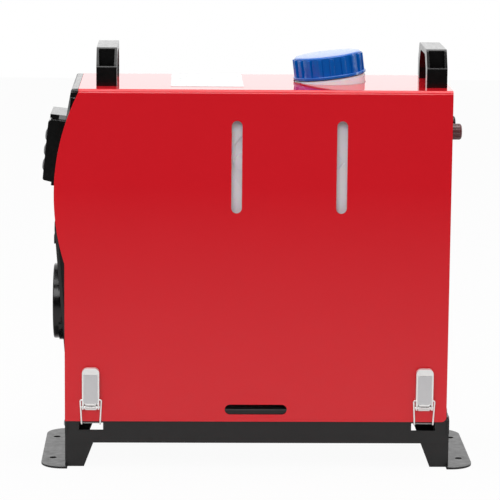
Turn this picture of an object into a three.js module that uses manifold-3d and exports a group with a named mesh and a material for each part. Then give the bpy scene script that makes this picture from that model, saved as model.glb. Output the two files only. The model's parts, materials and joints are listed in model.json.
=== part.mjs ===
// Portable diesel air heater: a latched sheet-metal case over a fuel tank and a heater unit.
// Millimetres, +Z up. X runs along the case with the warm-air outlet at -X, and the broad
// sides face -Y and +Y. The origin lies on the floor under the middle of the case.
import * as THREE from 'three';
import { mergeVertices } from 'three/addons/utils/BufferGeometryUtils.js';
import Module from 'manifold-3d';

const wasm = await Module();
wasm.setup();

// ---------------------------------------------------------------- driving dimensions
const GAP = 0.3; // clearance between neighbouring parts
const ROUND = 24; // flats on the larger round pieces

const CASE_DEPTH = 145; // across the two broad sides of the cover
const COVER_TOP = 374.3;
const COVER_BOTTOM = 46.4;
const COVER_SHEET = 1.2;
const COVER_BEND = 4.5; // outer radius of the two long folds
const COVER_SHORT = 2.1; // intake-end edge, inside the frame's end
const COVER_PROUD = 0.9; // upright outlet-end edge, beyond the frame's end
const COVER_CORNER = 5; // rounded lower corner at the intake end
const BOW_SWELL = 10.1; // furthest point of the bowed edge, beyond the upright edge
const BOW_TOP_DRAW = 24.2; // top sheet's edge, behind the furthest point
const BOW_RADIUS = 225;
const BOW_DROP = 104.3; // centre of the bow below the top
const WINDOW_WIDTH = 10.3; // upright slots that show the fuel level
const WINDOW_LENGTH = 90.5;
const WINDOW_DROP = 29.8; // upper ends of the slots below the top
const WINDOW_PLACES = [-22.3, 79.7];
const VENT_LENGTH = 61;
const VENT_HEIGHT = 10;
const VENT_PLACE = -1.8;
const VENT_RISE = 12.1; // middle of the vent above the cover's lower edge

const FRAME_HALF_LENGTH = 188.5;
const FRAME_STEEL = 1.5;
const FRAME_FLOOR = 24.4; // lower edge of the long walls
const FRAME_TOP = 59.3;
const LATCH_WINDOW_WIDTH = 23.8;
const LATCH_WINDOW_HEIGHT = 7.3;
const LATCH_WINDOW_DROP = 1.8; // below the cover's lower edge
const FOOT_REACH = 25; // flange beyond the end wall
const FOOT_STEEL = 2;
const FOOT_PROUD = 6.5; // flange beyond the cover's broad sides
const FOOT_CORNER = 22;
const FOOT_HOLE = 3.5;
const FOOT_HOLE_SPREAD = 85;
const FOOT_HOLE_INSET = 14;
const LEG_TOP_WIDTH = 27;
const LEG_BOTTOM_WIDTH = 17.6;
const LEG_LAP = 9.6; // legs reach this far up inside the frame
const END_WALL_DROP = 8.3; // end wall's edge below the frame's deck

const OUTLET_HEIGHT = 153.1;
const DUCT_DIAMETER = 75; // standard warm-air duct
const RING_WALL = 2.4;
const RING_PROUD = 3.2; // beyond the furthest point of the bow
const RING_LENGTH = 19.1;
const VANE_PITCH = 11; // fixed louvre vanes inside the ring
const VANE_THICK = 1.8;
const VANE_DEPTH = 3;
const VANE_INSET = 10.1;
const BOSS_MARGIN = 1.6;
const BOSS_RECESS = 5.7; // behind the ring's mouth

const PANEL_TILT = THREE.MathUtils.degToRad(5.9); // control panel leans back
const LOWER_TILT = THREE.MathUtils.degToRad(4.4); // lower front leans the other way
const PANEL_TOP_PROUD = 13; // upper end of the panel, beyond the top sheet's edge
const PANEL_TOP_DROP = 33.3; // and below the top
const NOSE_RISE = 84.9; // above the outlet's middle
const NOSE_BEND = 12;
const FASCIA_WALL = 2.5;
const FASCIA_DEPTH = 5.3; // back of the fascia, behind the top sheet's edge
const FASCIA_LIP = 7; // width of the lip beyond the cover's top edge
const LIP_ROUND = 2;
const BADGE_SIZE = [1.9, 120, 9];
const BADGE_RISE = 72.4; // above the outlet's middle
const LEAD_HOLE = 5; // radius of the hole for the controller's lead

const CONTROLLER_DEPTH = 17.2;
const CONTROLLER_WIDTH = 90;
const CONTROLLER_HEIGHT = 61;
const CONTROLLER_DROP = 32; // its middle below the panel's upper end
const CONTROLLER_WALL = 2.5;
const CONTROLLER_ROUND = 3;
const CONTROLLER_CHAMFER = [6, 2]; // lower front corner: along the panel's depth and up its face
const SCREEN_WIDTH = 50;
const SCREEN_HEIGHT = 36;
const SCREEN_PLACE = 9; // across, from the middle of the panel
const SCREEN_GLASS = 1.2;
const BUTTON_WIDTH = 15;
const BUTTON_HEIGHT = 11;
const BUTTON_PITCH = 14.9;
const BUTTON_PLACE = -33;
const BUTTON_PROUD = 1.8;
const BUTTON_FLANGE = 1.5;
const BUTTON_CORNER = 3;
const BUTTON_STEP = 0.6; // from the crown down to the shoulder round it
const HOOD_WIDTH = 60;
const HOOD_THICK = 3.6;
const HOOD_REACH = 16.3;

const PANEL_RECESS = 1.9; // intake-end panel behind the cover's edge
const PANEL_WALL = 3;
const PANEL_DEPTH = 7.5;
const GRILLE_DIAMETER = 92;
const GRILLE_BARS = 7;
const GRILLE_BAR = 2;
const TERMINAL_DROP = 44.5; // below the top
const TERMINAL_SPREAD = 62;
const TERMINAL_DIAMETER = 15.8;
const TERMINAL_LENGTH = 14.8;
const TERMINAL_STUD = 3;
const TERMINAL_CHAMFER = [1.5, 1.8];

const HANDLE_INSETS = [26.3, 13.6]; // from the top sheet's ends to the handles' middles
const HANDLE_WIDTH = 20;
const HANDLE_HALF_LENGTH = 50;
const HANDLE_CENTRE = 5;
const HANDLE_HEIGHT = 36.4;
const HANDLE_KNEE = 19;
const HANDLE_SLOPE = 12;
const HANDLE_LEG = 14;
const HANDLE_BAR = 6;
const HANDLE_RIM = 2.5;
const HANDLE_SKIN = 1.6; // at the pockets' outer ends
const HANDLE_CROWN = 2; // over the pockets

const LABEL_WIDTH = 71;
const LABEL_THICK = 0.3;
const LABEL_CORNER = 2;
const LABEL_PLACE = -51;
const LABEL_MARGINS = [26.5, 6.5]; // to the cover's front and back

const CAP_PLACE = [71, 11];
const CAP_TILT = THREE.MathUtils.degToRad(-7.2);
const CAP_RISE = 5.6; // middle of the cap's rim above the top
const CAP_RADIUS = 35.2;
const CAP_FLANGE = 36.2;
const CAP_FLANGE_HEIGHT = 2.2;
const CAP_HEIGHT = 22.4;
const CAP_EDGE = 1.5; // chamfer round the top
const CAP_RIBS = 18;
const CAP_RIB_DEPTH = 1.8;
const CAP_WALL = 2.5;
const COLLAR_RADIUS = 35.2;
const COVER_HOLE_RADIUS = 36;
const NECK_RADIUS = 29.5;
const NECK_WALL = 2.8;
const NECK_HEIGHT = 17.6;
const THREAD_PITCH = 5;
const THREAD_TURNS = 1.75;
const THREAD_DEPTH = 1.5;
const THREAD_STEPS = 16; // flats in one turn
const THREAD_ROOM = 0.6; // between the neck's crests and the cap's bore
const LINER_THICK = 1.4;

const PUMP_BAY = 52; // between the fascia and the tank
const TANK_END_ROOM = 6;
const TANK_SIDE_ROOM = 7.3;
const TANK_TOP_ROOM = 7.1;
const TANK_WALL = 3;
const TANK_CORNER = 12;
const TANK_OUTLET_SIDE = 50;
const TANK_OUTLET_HEIGHT = 10;
const TANK_RIB = [10, 1.5]; // width and depth of the moulded stiffening grooves
const TANK_RIB_ANGLE = THREE.MathUtils.degToRad(48);
const TANK_RIB_CROSSINGS = [-33.5, 90.5];
const TANK_RIB_LENGTH = 150;
const TANK_RIB_RISE = 3.75; // crossings above the middle of the windows
const TANK_RIB_MARGIN = 8; // from the tank's top and bottom

const SHELF_STEEL = 1.5;
const SHELF_ROOMS = [2, 1]; // to the fascia and to the intake-end panel
const SHELF_SIDE_ROOM = 11.3;
const SHELF_FOOT = 12;
const SHELF_ROOM = 11; // between the heater's shell and the shelf

const SHELL_ENDS = [-112, 152];
const SHELL_WIDTH = 115;
const SHELL_HEIGHT = 120;
const SHELL_CORNER = 30;
const SHELL_WALL = 2.5;
const STAND_ENDS = [-100, 100];
const STAND_WIDTH = 110;
const STAND_STEEL = 1.5;
const GASKET = 1;
const GASKET_MARGIN = 25; // round the middles of the two pipes
const GASKET_CORNER = 10;

const DUCT_WALL = 1.5;
const DUCT_FLANGE = 47;
const DUCT_RADIUS = 33;
const DUCT_CONE = 38; // length of the cone from the shell's end
const HOLE_ROOM = 3; // round the outlet and the intake in the inner frame

const EXCHANGER_ENDS = [-100, 40];
const EXCHANGER_CORE = 41;
const FIN_ROOM = 5.5; // to the shell's sides
const PLUG_ROOM = 8; // over the fins, for the head of the glow plug
const EXCHANGER_FINS = 24;
const EXCHANGER_BORE = 30;
const CHAMBER_RADIUS = 27.5;
const CHAMBER_WALL = 1.5;
const EXHAUST = [-60, 12]; // place along the heater and outer radius
const AIR_INTAKE = [59, 10];
const PIPE_WALL = 1.5;
const PIPE_RISE = 3.6; // lower ends above the frame's lower edge
const GLOW_PLUG_PLACE = 30;
const GLOW_PLUG_STEM = 4;
const GLOW_PLUG_HEAD = 6;
const BLOWER_ENDS = [43, 72];
const BLOWER_RADIUS = 48;
const BLOWER_WALL = 3;
const BLOWER_EYE = 20;
const BLOWER_BLADES = 10;
const BLADE_THICK = 1.6;
const MOTOR_ENDS = [72.3, 120];
const MOTOR_RADIUS = 26;
const SHAFT_RADIUS = 2.5;
const FAN_ENDS = [124, 147];
const FAN_RADIUS = 44;
const FAN_HUB = 16;
const FAN_BLADES = 9;
const FAN_BLADE = [20, 2]; // width and thickness
const FAN_PITCH = 0.6; // radians
const INTAKE_BELL = 47;
const BOARD_SIZE = [36, 70, 1.6];
const BOARD_OFFSET = 3; // beyond the motor's middle
const CHIP_SIZE = [10, 12];
const CHIPS = [[-10, -20, 6], [8, 5, 9], [-8, 22, 4]]; // place on the board, and height

const PUMP_OFFSET = 25; // pump and filter, from the tank's end
const PUMP_SIDE = 28;
const PUMP_RADIUS = 14;
const PUMP_NECK = 10;
const PUMP_RISE = 24.1; // above the shelf
const PUMP_LENGTH = 60;
const PUMP_END = 8; // solid ends round the plunger's bore
const PLUNGER_RADIUS = 4;
const PLUNGER_STROKE_ROOM = 6;
const BRACKET_RISE = 20; // band above the pump's lower end
const BRACKET_BAND = 14;
const BRACKET_WALL = 3;
const BRACKET_WIDTH = 16;
const BRACKET_FOOT = 2;
const FILTER_SIDE = -30;
const FILTER_RADIUS = 12;
const FILTER_TAPER = 4;
const FILTER_INSET = 10; // its ends, inside the pump's
const PASSAGE_RADIUS = 1.6;
const STUB_RADIUS = 3;
const STUB_LENGTH = 12;
const HOSE_RADIUS = 3;
const LEAD_RADIUS = 2;
const NUT_RADIUS = 5.5;

const LATCH_INSET = 24.7; // from the frame's end
const LATCH_WIDTH = 16.8;
const LATCH_TOP = 101;
const LATCH_PIVOT = 61.5; // hinge pin of the lever
const LATCH_PIVOT_PROUD = 3.9; // hinge pin in front of the cover
const LATCH_DEPTH = 7.5;
const LATCH_SKIN = 1.5;
const LATCH_HEEL = 3.2; // lever behind its hinge pin
const INSET_ENDS = [4, 7]; // pressed recess: above the hinge pin, and below the lever's top
const INSET_DEPTH = 0.7;
const BAIL_PIVOT = 7; // above the lever's hinge pin
const BAIL_PIVOT_INSET = 0.8;
const BAIL_WIRE = 1.1;
const BAIL_HALF_WIDTH = 10.2;
const PIN_CLEARANCE = 0.3;

// ---------------------------------------------------------------- places worked out from them
const HALF_DEPTH = CASE_DEPTH / 2;
const INNER_HALF = HALF_DEPTH - COVER_SHEET; // inner faces of the cover
const INNER_TOP = COVER_TOP - COVER_SHEET;
const FIT_HALF = INNER_HALF - GAP; // what fits inside the cover
const FIT_TOP = INNER_TOP - GAP;
const FIT_BEND = COVER_BEND - COVER_SHEET;
const FLOOR = FRAME_TOP + GAP; // what stands on the frame's deck
const COVER_INTAKE_EDGE = FRAME_HALF_LENGTH - COVER_SHORT;
const COVER_LOWER_EDGE = FRAME_HALF_LENGTH + COVER_PROUD;
const BOW_REACH = COVER_LOWER_EDGE + BOW_SWELL;
const COVER_TOP_EDGE = BOW_REACH - BOW_TOP_DRAW;
const WINDOW_MIDDLE = COVER_TOP - WINDOW_DROP - WINDOW_LENGTH / 2;
const LATCH_WINDOW_TOP = COVER_BOTTOM - LATCH_WINDOW_DROP;
const LATCH_PLACE = FRAME_HALF_LENGTH - LATCH_INSET;
const RING_REACH = BOW_REACH + RING_PROUD;
const FASCIA_BACK = COVER_TOP_EDGE - FASCIA_DEPTH;
const PANEL_TOP = [-COVER_TOP_EDGE - PANEL_TOP_PROUD, COVER_TOP - PANEL_TOP_DROP];
const CONTROLLER_CENTRE = PANEL_TOP[1] - CONTROLLER_DROP;
const NOSE_HEIGHT = OUTLET_HEIGHT + NOSE_RISE;
const PANEL_OUTER = COVER_INTAKE_EDGE - PANEL_RECESS; // outer face of the intake-end panel
const TERMINAL_HEIGHT = COVER_TOP - TERMINAL_DROP;
const TERMINAL_REACH = PANEL_OUTER + TERMINAL_LENGTH;
const HANDLE_PLACES = [HANDLE_INSETS[0] - COVER_TOP_EDGE, COVER_INTAKE_EDGE - HANDLE_INSETS[1]];
const SHELL_BOTTOM = OUTLET_HEIGHT - SHELL_HEIGHT / 2;
const EXCHANGER_FIN = Math.min(SHELL_WIDTH / 2 - FIN_ROOM, SHELL_HEIGHT / 2 - PLUG_ROOM);
const SHELF_TOP = OUTLET_HEIGHT + SHELL_HEIGHT / 2 + SHELF_ROOM + SHELF_STEEL;
const SHELF_ENDS = [SHELF_ROOMS[0] - FASCIA_BACK, PANEL_OUTER - PANEL_DEPTH - SHELF_ROOMS[1]];
const TANK_BOTTOM = SHELF_TOP + GAP;
const TANK_ENDS = [PUMP_BAY - FASCIA_BACK, SHELF_ENDS[1] - TANK_END_ROOM];
const TANK_TOP = INNER_TOP - TANK_TOP_ROOM;
const TANK_HALF_DEPTH = INNER_HALF - TANK_SIDE_ROOM;
const TANK_OUTLET = [-TANK_OUTLET_SIDE, TANK_BOTTOM + TANK_OUTLET_HEIGHT];
const PUMP_PLACE = [TANK_ENDS[0] - PUMP_OFFSET, PUMP_SIDE];
const PUMP_BODY = [TANK_BOTTOM + PUMP_RISE, TANK_BOTTOM + PUMP_RISE + PUMP_LENGTH];
const FILTER_PLACE = [TANK_ENDS[0] - PUMP_OFFSET, FILTER_SIDE];
const FILTER_BODY = [PUMP_BODY[0] + FILTER_INSET, PUMP_BODY[1] - FILTER_INSET];
const CAP_BASE = COVER_TOP + CAP_RISE;
const CAP_BORE = NECK_RADIUS + THREAD_DEPTH + THREAD_ROOM;
const RING_RADIUS = DUCT_DIAMETER / 2;
const CAP_MATRIX = new THREE.Matrix4()
  .makeRotationY(CAP_TILT)
  .setPosition(CAP_PLACE[0], CAP_PLACE[1], CAP_BASE);

// ---------------------------------------------------------------- modelling helpers
// A closed geometry as a solid for joining and cutting.
function solid(geometry, matrix) {
  const plain = geometry.clone();
  if (matrix) plain.applyMatrix4(matrix);
  plain.deleteAttribute('normal');
  plain.deleteAttribute('uv');
  const merged = mergeVertices(plain, 1e-4);
  const corners = merged.index.array;
  const points = merged.attributes.position;
  const [a, b, c] = [new THREE.Vector3(), new THREE.Vector3(), new THREE.Vector3()];
  const triangles = [];
  let volume = 0;
  for (let i = 0; i < corners.length; i += 3) {
    const [p, q, r] = [corners[i], corners[i + 1], corners[i + 2]];
    if (p === q || q === r || r === p) continue;
    a.fromBufferAttribute(points, p);
    b.fromBufferAttribute(points, q);
    c.fromBufferAttribute(points, r);
    volume += a.dot(b.cross(c));
    triangles.push([p, q, r]);
  }
  const outward = volume < 0 ? triangles.map(([p, q, r]) => [p, r, q]) : triangles;
  return new wasm.Manifold(new wasm.Mesh({
    numProp: 3,
    vertProperties: new Float32Array(points.array),
    triVerts: new Uint32Array(outward.flat()),
  }));
}

function geometryOf(body) {
  const mesh = body.getMesh();
  const geometry = new THREE.BufferGeometry();
  geometry.setAttribute('position', new THREE.BufferAttribute(new Float32Array(mesh.vertProperties), 3));
  geometry.setIndex(new THREE.BufferAttribute(new Uint32Array(mesh.triVerts), 1));
  geometry.computeVertexNormals();
  return geometry;
}

const joined = (first, ...others) => others.reduce((body, other) => body.add(other), first);
const cut = (first, ...tools) => tools.reduce((body, tool) => body.subtract(tool), first);

function block([x0, x1], [y0, y1], [z0, z1], matrix) {
  const geometry = new THREE.BoxGeometry(x1 - x0, y1 - y0, z1 - z0);
  geometry.translate((x0 + x1) / 2, (y0 + y1) / 2, (z0 + z1) / 2);
  return solid(geometry, matrix);
}

// Carries a drawing's (right, up) plane and its thickness onto the plane square to an axis.
function towards(axis, start) {
  const matrix = new THREE.Matrix4();
  const [x, y, z] = [[1, 0, 0], [0, 1, 0], [0, 0, 1]].map((v) => new THREE.Vector3(...v));
  if (axis === 'x') matrix.makeBasis(y, z, x).setPosition(start, 0, 0);
  if (axis === 'y') matrix.makeBasis(x, z, y.clone().negate()).setPosition(0, start, 0);
  if (axis === 'z') matrix.setPosition(0, 0, start);
  return matrix;
}

function prism(shape, axis, [from, to], matrix, curveSegments = 3) {
  const depth = to - from;
  const geometry = new THREE.ExtrudeGeometry(shape, { depth, bevelEnabled: false, curveSegments });
  geometry.applyMatrix4(towards(axis, axis === 'y' ? to : from));
  return solid(geometry, matrix);
}

// A round bar along an axis; place holds the two other coordinates in X, Y, Z order.
function bar(axis, radius, [from, to], place, segments = 16, matrix) {
  const circle = new THREE.Shape(ring(radius, segments, place));
  return prism(circle, axis, [from, to], matrix);
}

function ring(radius, segments, [u, v] = [0, 0]) {
  return Array.from({ length: segments }, (_, i) => {
    const angle = (2 * Math.PI * i) / segments;
    return new THREE.Vector2(u + radius * Math.cos(angle), v + radius * Math.sin(angle));
  });
}

// A body of revolution about an axis through place; profile is [distance along, radius].
function turned(profile, axis, place, segments = 24, matrix) {
  const points = profile.map(([along, radius]) => new THREE.Vector2(radius, along));
  points.push(points[0].clone());
  const geometry = new THREE.LatheGeometry(points, segments);
  if (axis === 'x') geometry.rotateZ(-Math.PI / 2).translate(0, ...place);
  if (axis === 'z') geometry.rotateX(Math.PI / 2).translate(...place, 0);
  return solid(geometry, matrix);
}

function roundedRectangle(width, height, radius, [u, v] = [0, 0]) {
  const shape = new THREE.Shape();
  const [right, top] = [u + width / 2, v + height / 2];
  const [left, bottom] = [u - width / 2, v - height / 2];
  shape.absarc(right - radius, top - radius, radius, 0, Math.PI / 2);
  shape.absarc(left + radius, top - radius, radius, Math.PI / 2, Math.PI);
  shape.absarc(left + radius, bottom + radius, radius, Math.PI, 1.5 * Math.PI);
  shape.absarc(right - radius, bottom + radius, radius, 1.5 * Math.PI, 2 * Math.PI);
  return shape;
}

// An upright rectangle with its two upper corners rounded.
function archedShape(halfWidth, bottom, top, radius) {
  const shape = new THREE.Shape();
  shape.moveTo(-halfWidth, bottom);
  shape.lineTo(halfWidth, bottom);
  shape.absarc(halfWidth - radius, top - radius, radius, 0, Math.PI / 2);
  shape.absarc(radius - halfWidth, top - radius, radius, Math.PI / 2, Math.PI);
  shape.closePath();
  return shape;
}

function polygon(points) {
  return new THREE.Shape(points.map(([u, v]) => new THREE.Vector2(u, v)));
}

// A toothed outline: count teeth between two radii, each filling share of its pitch.
function toothedOutline(count, root, crest, share) {
  const points = [];
  for (let tooth = 0; tooth < count; tooth += 1) {
    for (const [offset, radius] of [[0, root], [0.08, crest], [share, crest], [share + 0.08, root]]) {
      const angle = (2 * Math.PI * (tooth + offset)) / count;
      points.push(new THREE.Vector2(radius * Math.cos(angle), radius * Math.sin(angle)));
    }
  }
  return new THREE.Shape(points);
}

// A round tube or wire through a list of points, with flat ends.
function sweep(points, radius, sides = 8) {
  const path = points.map((p) => (p.isVector3 ? p : new THREE.Vector3(...p)));
  const last = path.length - 1;
  const tangents = path.map((_, i) => {
    const before = path[Math.max(i - 1, 0)];
    const after = path[Math.min(i + 1, last)];
    return after.clone().sub(before).normalize();
  });
  const side = new THREE.Vector3(0, 0, 1).cross(tangents[0]);
  if (side.lengthSq() < 0.01) side.set(1, 0, 0).cross(tangents[0]);
  side.normalize();
  const positions = [];
  const index = [];
  path.forEach((centre, i) => {
    side.addScaledVector(tangents[i], -side.dot(tangents[i])).normalize();
    const up = tangents[i].clone().cross(side);
    for (let k = 0; k < sides; k += 1) {
      const angle = (2 * Math.PI * k) / sides;
      const point = centre.clone();
      point.addScaledVector(side, radius * Math.cos(angle)).addScaledVector(up, radius * Math.sin(angle));
      positions.push(point.x, point.y, point.z);
    }
  });
  for (let i = 0; i < last; i += 1) {
    for (let k = 0; k < sides; k += 1) {
      const [a, b] = [i * sides + k, i * sides + ((k + 1) % sides)];
      index.push(a, b, a + sides, b, b + sides, a + sides);
    }
  }
  for (let k = 1; k < sides - 1; k += 1) {
    index.push(0, k + 1, k, last * sides, last * sides + k, last * sides + k + 1);
  }
  const geometry = new THREE.BufferGeometry();
  geometry.setAttribute('position', new THREE.Float32BufferAttribute(positions, 3));
  geometry.setIndex(index);
  return solid(geometry);
}

// The same, with each corner of the list rounded to a bend radius.
function bentWire(corners, bend, radius, sides = 6) {
  const path = corners.map((p) => new THREE.Vector3(...p));
  const points = [path[0]];
  for (let i = 1; i < path.length - 1; i += 1) {
    const start = path[i].clone().add(path[i - 1].clone().sub(path[i]).setLength(bend));
    const end = path[i].clone().add(path[i + 1].clone().sub(path[i]).setLength(bend));
    points.push(...new THREE.QuadraticBezierCurve3(start, path[i], end).getPoints(2));
  }
  points.push(path[path.length - 1]);
  return sweep(points, radius, sides);
}

// A hose through hand-picked points; its first and last stretches are straight.
function hose(points, steps, radius = HOSE_RADIUS) {
  const places = points.map((p) => new THREE.Vector3(...p));
  const curve = new THREE.CatmullRomCurve3(places.slice(1, -1));
  return sweep([places[0], ...curve.getSpacedPoints(steps), places[places.length - 1]], radius, 6);
}

// A screw thread: a trapezoid ridge wound between two radii along Z.
function threadRidge(root, crest, start) {
  const [rootHalf, crestHalf] = [THREAD_PITCH * 0.18, THREAD_PITCH * 0.11];
  const section = [[root, -rootHalf], [crest, -crestHalf], [crest, crestHalf], [root, rootHalf]];
  const steps = Math.round(THREAD_STEPS * THREAD_TURNS);
  const positions = [];
  const index = [];
  for (let i = 0; i <= steps; i += 1) {
    const angle = (2 * Math.PI * THREAD_TURNS * i) / steps;
    const height = start + (THREAD_PITCH * THREAD_TURNS * i) / steps;
    for (const [radius, offset] of section) {
      positions.push(radius * Math.cos(angle), radius * Math.sin(angle), height + offset);
    }
  }
  for (let i = 0; i < steps; i += 1) {
    for (let k = 0; k < 4; k += 1) {
      const [a, b] = [i * 4 + k, i * 4 + ((k + 1) % 4)];
      index.push(a, b, a + 4, b, b + 4, a + 4);
    }
  }
  const end = steps * 4;
  index.push(0, 2, 1, 0, 3, 2, end, end + 1, end + 2, end, end + 2, end + 3);
  const geometry = new THREE.BufferGeometry();
  geometry.setAttribute('position', new THREE.Float32BufferAttribute(positions, 3));
  geometry.setIndex(index);
  return solid(geometry);
}

// ---------------------------------------------------------------- materials
const finish = (color, roughness, metalness = 0) => (
  new THREE.MeshStandardMaterial({ color, roughness, metalness }));
const redPaint = finish(0xd22a32, 0.25);
const blackPaint = finish(0x2b2b2b, 0.45);
const blackPlastic = finish(0x151515, 0.4);
const bluePlastic = finish(0x0a62b8, 0.35);
const tankPlastic = finish(0xdcdbe0, 0.5);
const nickel = finish(0xe2e2e2, 0.2, 1);
const steel = finish(0xa9acb0, 0.4, 1);
const castAluminium = finish(0xb4b6b8, 0.55, 1);
const brass = finish(0xc8a04a, 0.35, 1);
const rubber = finish(0x1b1b1b, 0.8);
const screenGlass = finish(0x10161c, 0.1);
const paleLabel = finish(0xe6e6e6, 0.6);
const maroonPlastic = finish(0x8d4142, 0.5);
const boardGreen = finish(0x1f6b3a, 0.5);
const gasketFibre = finish(0x6e6a62, 0.9);

const heater = new THREE.Group();

function add(name, body, material, group = heater) {
  const mesh = new THREE.Mesh(geometryOf(body), material);
  mesh.name = name;
  group.add(mesh);
}

// ---------------------------------------------------------------- case
function coverSide() {
  const bowCentre = BOW_RADIUS - BOW_REACH;
  const bowAngle = (edge) => Math.acos((edge + bowCentre) / BOW_RADIUS);
  const side = new THREE.Shape();
  side.moveTo(COVER_INTAKE_EDGE, COVER_TOP + 1);
  side.lineTo(-COVER_TOP_EDGE, COVER_TOP + 1);
  const [top, bottom] = [Math.PI - bowAngle(COVER_TOP_EDGE), Math.PI + bowAngle(COVER_LOWER_EDGE)];
  side.absarc(bowCentre, COVER_TOP - BOW_DROP, BOW_RADIUS, top, bottom);
  side.lineTo(-COVER_LOWER_EDGE, COVER_BOTTOM);
  side.absarc(COVER_INTAKE_EDGE - COVER_CORNER, COVER_BOTTOM + COVER_CORNER, COVER_CORNER, -Math.PI / 2, 0);
  side.closePath();
  return side;
}

function cover() {
  const outer = archedShape(HALF_DEPTH, COVER_BOTTOM - 1, COVER_TOP, COVER_BEND);
  const inner = archedShape(INNER_HALF, COVER_BOTTOM - 2, INNER_TOP, FIT_BEND);
  const length = [-BOW_REACH - 1, COVER_INTAKE_EDGE + 1];
  const folded = cut(prism(outer, 'x', length), prism(inner, 'x', [length[0] - 1, length[1] + 1]));
  const through = [-HALF_DEPTH - 1, HALF_DEPTH + 1];
  const trimmed = folded.intersect(prism(coverSide(), 'y', through, undefined, 9));
  const slots = WINDOW_PLACES.map((x) => prism(
    roundedRectangle(WINDOW_WIDTH, WINDOW_LENGTH, WINDOW_WIDTH / 2 - 0.01, [x, WINDOW_MIDDLE]),
    'y', through, undefined, 2,
  ));
  const ventMiddle = [VENT_PLACE, COVER_BOTTOM + VENT_RISE];
  const vent = roundedRectangle(VENT_LENGTH, VENT_HEIGHT, VENT_HEIGHT / 2 - 0.01, ventMiddle);
  const capHole = bar('z', COVER_HOLE_RADIUS, [INNER_TOP - 5, COVER_TOP + 5], CAP_PLACE, ROUND);
  return cut(trimmed, ...slots, prism(vent, 'y', through, undefined, 2), capHole);
}

function baseFrame() {
  const length = [-FRAME_HALF_LENGTH, FRAME_HALF_LENGTH];
  const half = [-FIT_HALF, FIT_HALF];
  const inner = [FRAME_STEEL - FIT_HALF, FIT_HALF - FRAME_STEEL];
  const channel = cut(
    block(length, half, [FRAME_FLOOR, FRAME_TOP]),
    block([length[0] - 1, length[1] + 1], inner, [FRAME_FLOOR - 1, FRAME_TOP - FRAME_STEEL]),
  );
  const windowHalf = LATCH_WINDOW_WIDTH / 2;
  const windows = [-LATCH_PLACE, LATCH_PLACE].map((x) => block(
    [x - windowHalf, x + windowHalf],
    [-HALF_DEPTH - 1, HALF_DEPTH + 1],
    [LATCH_WINDOW_TOP - LATCH_WINDOW_HEIGHT, LATCH_WINDOW_TOP],
  ));
  const deck = [FRAME_TOP - FRAME_STEEL - 1, FRAME_TOP + 1];
  const pipes = [EXHAUST, AIR_INTAKE].map(([x, radius]) => bar('z', radius + GAP, deck, [x, 0]));
  return cut(channel, ...windows, ...pipes);
}

// A bent end bracket: end wall, two tapering legs and a flange with screw holes.
function footBracket(end) {
  const span = (near, far) => [end * near, end * far].sort((a, b) => a - b);
  const half = FIT_HALF - FRAME_STEEL - GAP;
  const inner = FRAME_HALF_LENGTH - FRAME_STEEL;
  const wall = block(span(inner, FRAME_HALF_LENGTH), [-half, half], [0, FRAME_TOP - END_WALL_DROP]);
  const legSlope = (LEG_TOP_WIDTH - LEG_BOTTOM_WIDTH) / FRAME_FLOOR;
  const legHeight = FRAME_FLOOR + LEG_LAP;
  const legTop = LEG_BOTTOM_WIDTH + legSlope * legHeight;
  const leg = polygon([
    [end * FRAME_HALF_LENGTH, 0],
    [end * (FRAME_HALF_LENGTH - LEG_BOTTOM_WIDTH), 0],
    [end * (FRAME_HALF_LENGTH - legTop), legHeight],
    [end * FRAME_HALF_LENGTH, legHeight],
  ]);
  const legs = [prism(leg, 'y', [-half, FRAME_STEEL - half]), prism(leg, 'y', [half - FRAME_STEEL, half])];
  const outer = FRAME_HALF_LENGTH + FOOT_REACH;
  const halfDepth = HALF_DEPTH + FOOT_PROUD;
  const flange = new THREE.Shape();
  flange.moveTo(inner, -halfDepth);
  flange.absarc(outer - FOOT_CORNER, FOOT_CORNER - halfDepth, FOOT_CORNER, -Math.PI / 2, 0);
  flange.absarc(outer - FOOT_CORNER, halfDepth - FOOT_CORNER, FOOT_CORNER, 0, Math.PI / 2);
  flange.lineTo(inner, halfDepth);
  flange.closePath();
  const turn = end > 0 ? undefined : new THREE.Matrix4().makeRotationZ(Math.PI);
  const plate = prism(flange, 'z', [0, FOOT_STEEL], turn);
  const holePlace = end * (FRAME_HALF_LENGTH + FOOT_HOLE_INSET);
  const holes = [-0.5, 0.5].map((side) => (
    bar('z', FOOT_HOLE, [-1, FOOT_STEEL + 1], [holePlace, side * FOOT_HOLE_SPREAD])));
  return cut(joined(wall, ...legs, plate), ...holes);
}

const panelLine = (height) => PANEL_TOP[0] - (PANEL_TOP[1] - height) * Math.tan(PANEL_TILT);
const lowerLine = (height) => panelLine(NOSE_HEIGHT) + (NOSE_HEIGHT - height) * Math.tan(LOWER_TILT);
const PANEL_MATRIX = new THREE.Matrix4()
  .makeRotationY(PANEL_TILT)
  .setPosition(panelLine(CONTROLLER_CENTRE), 0, CONTROLLER_CENTRE);

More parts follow.
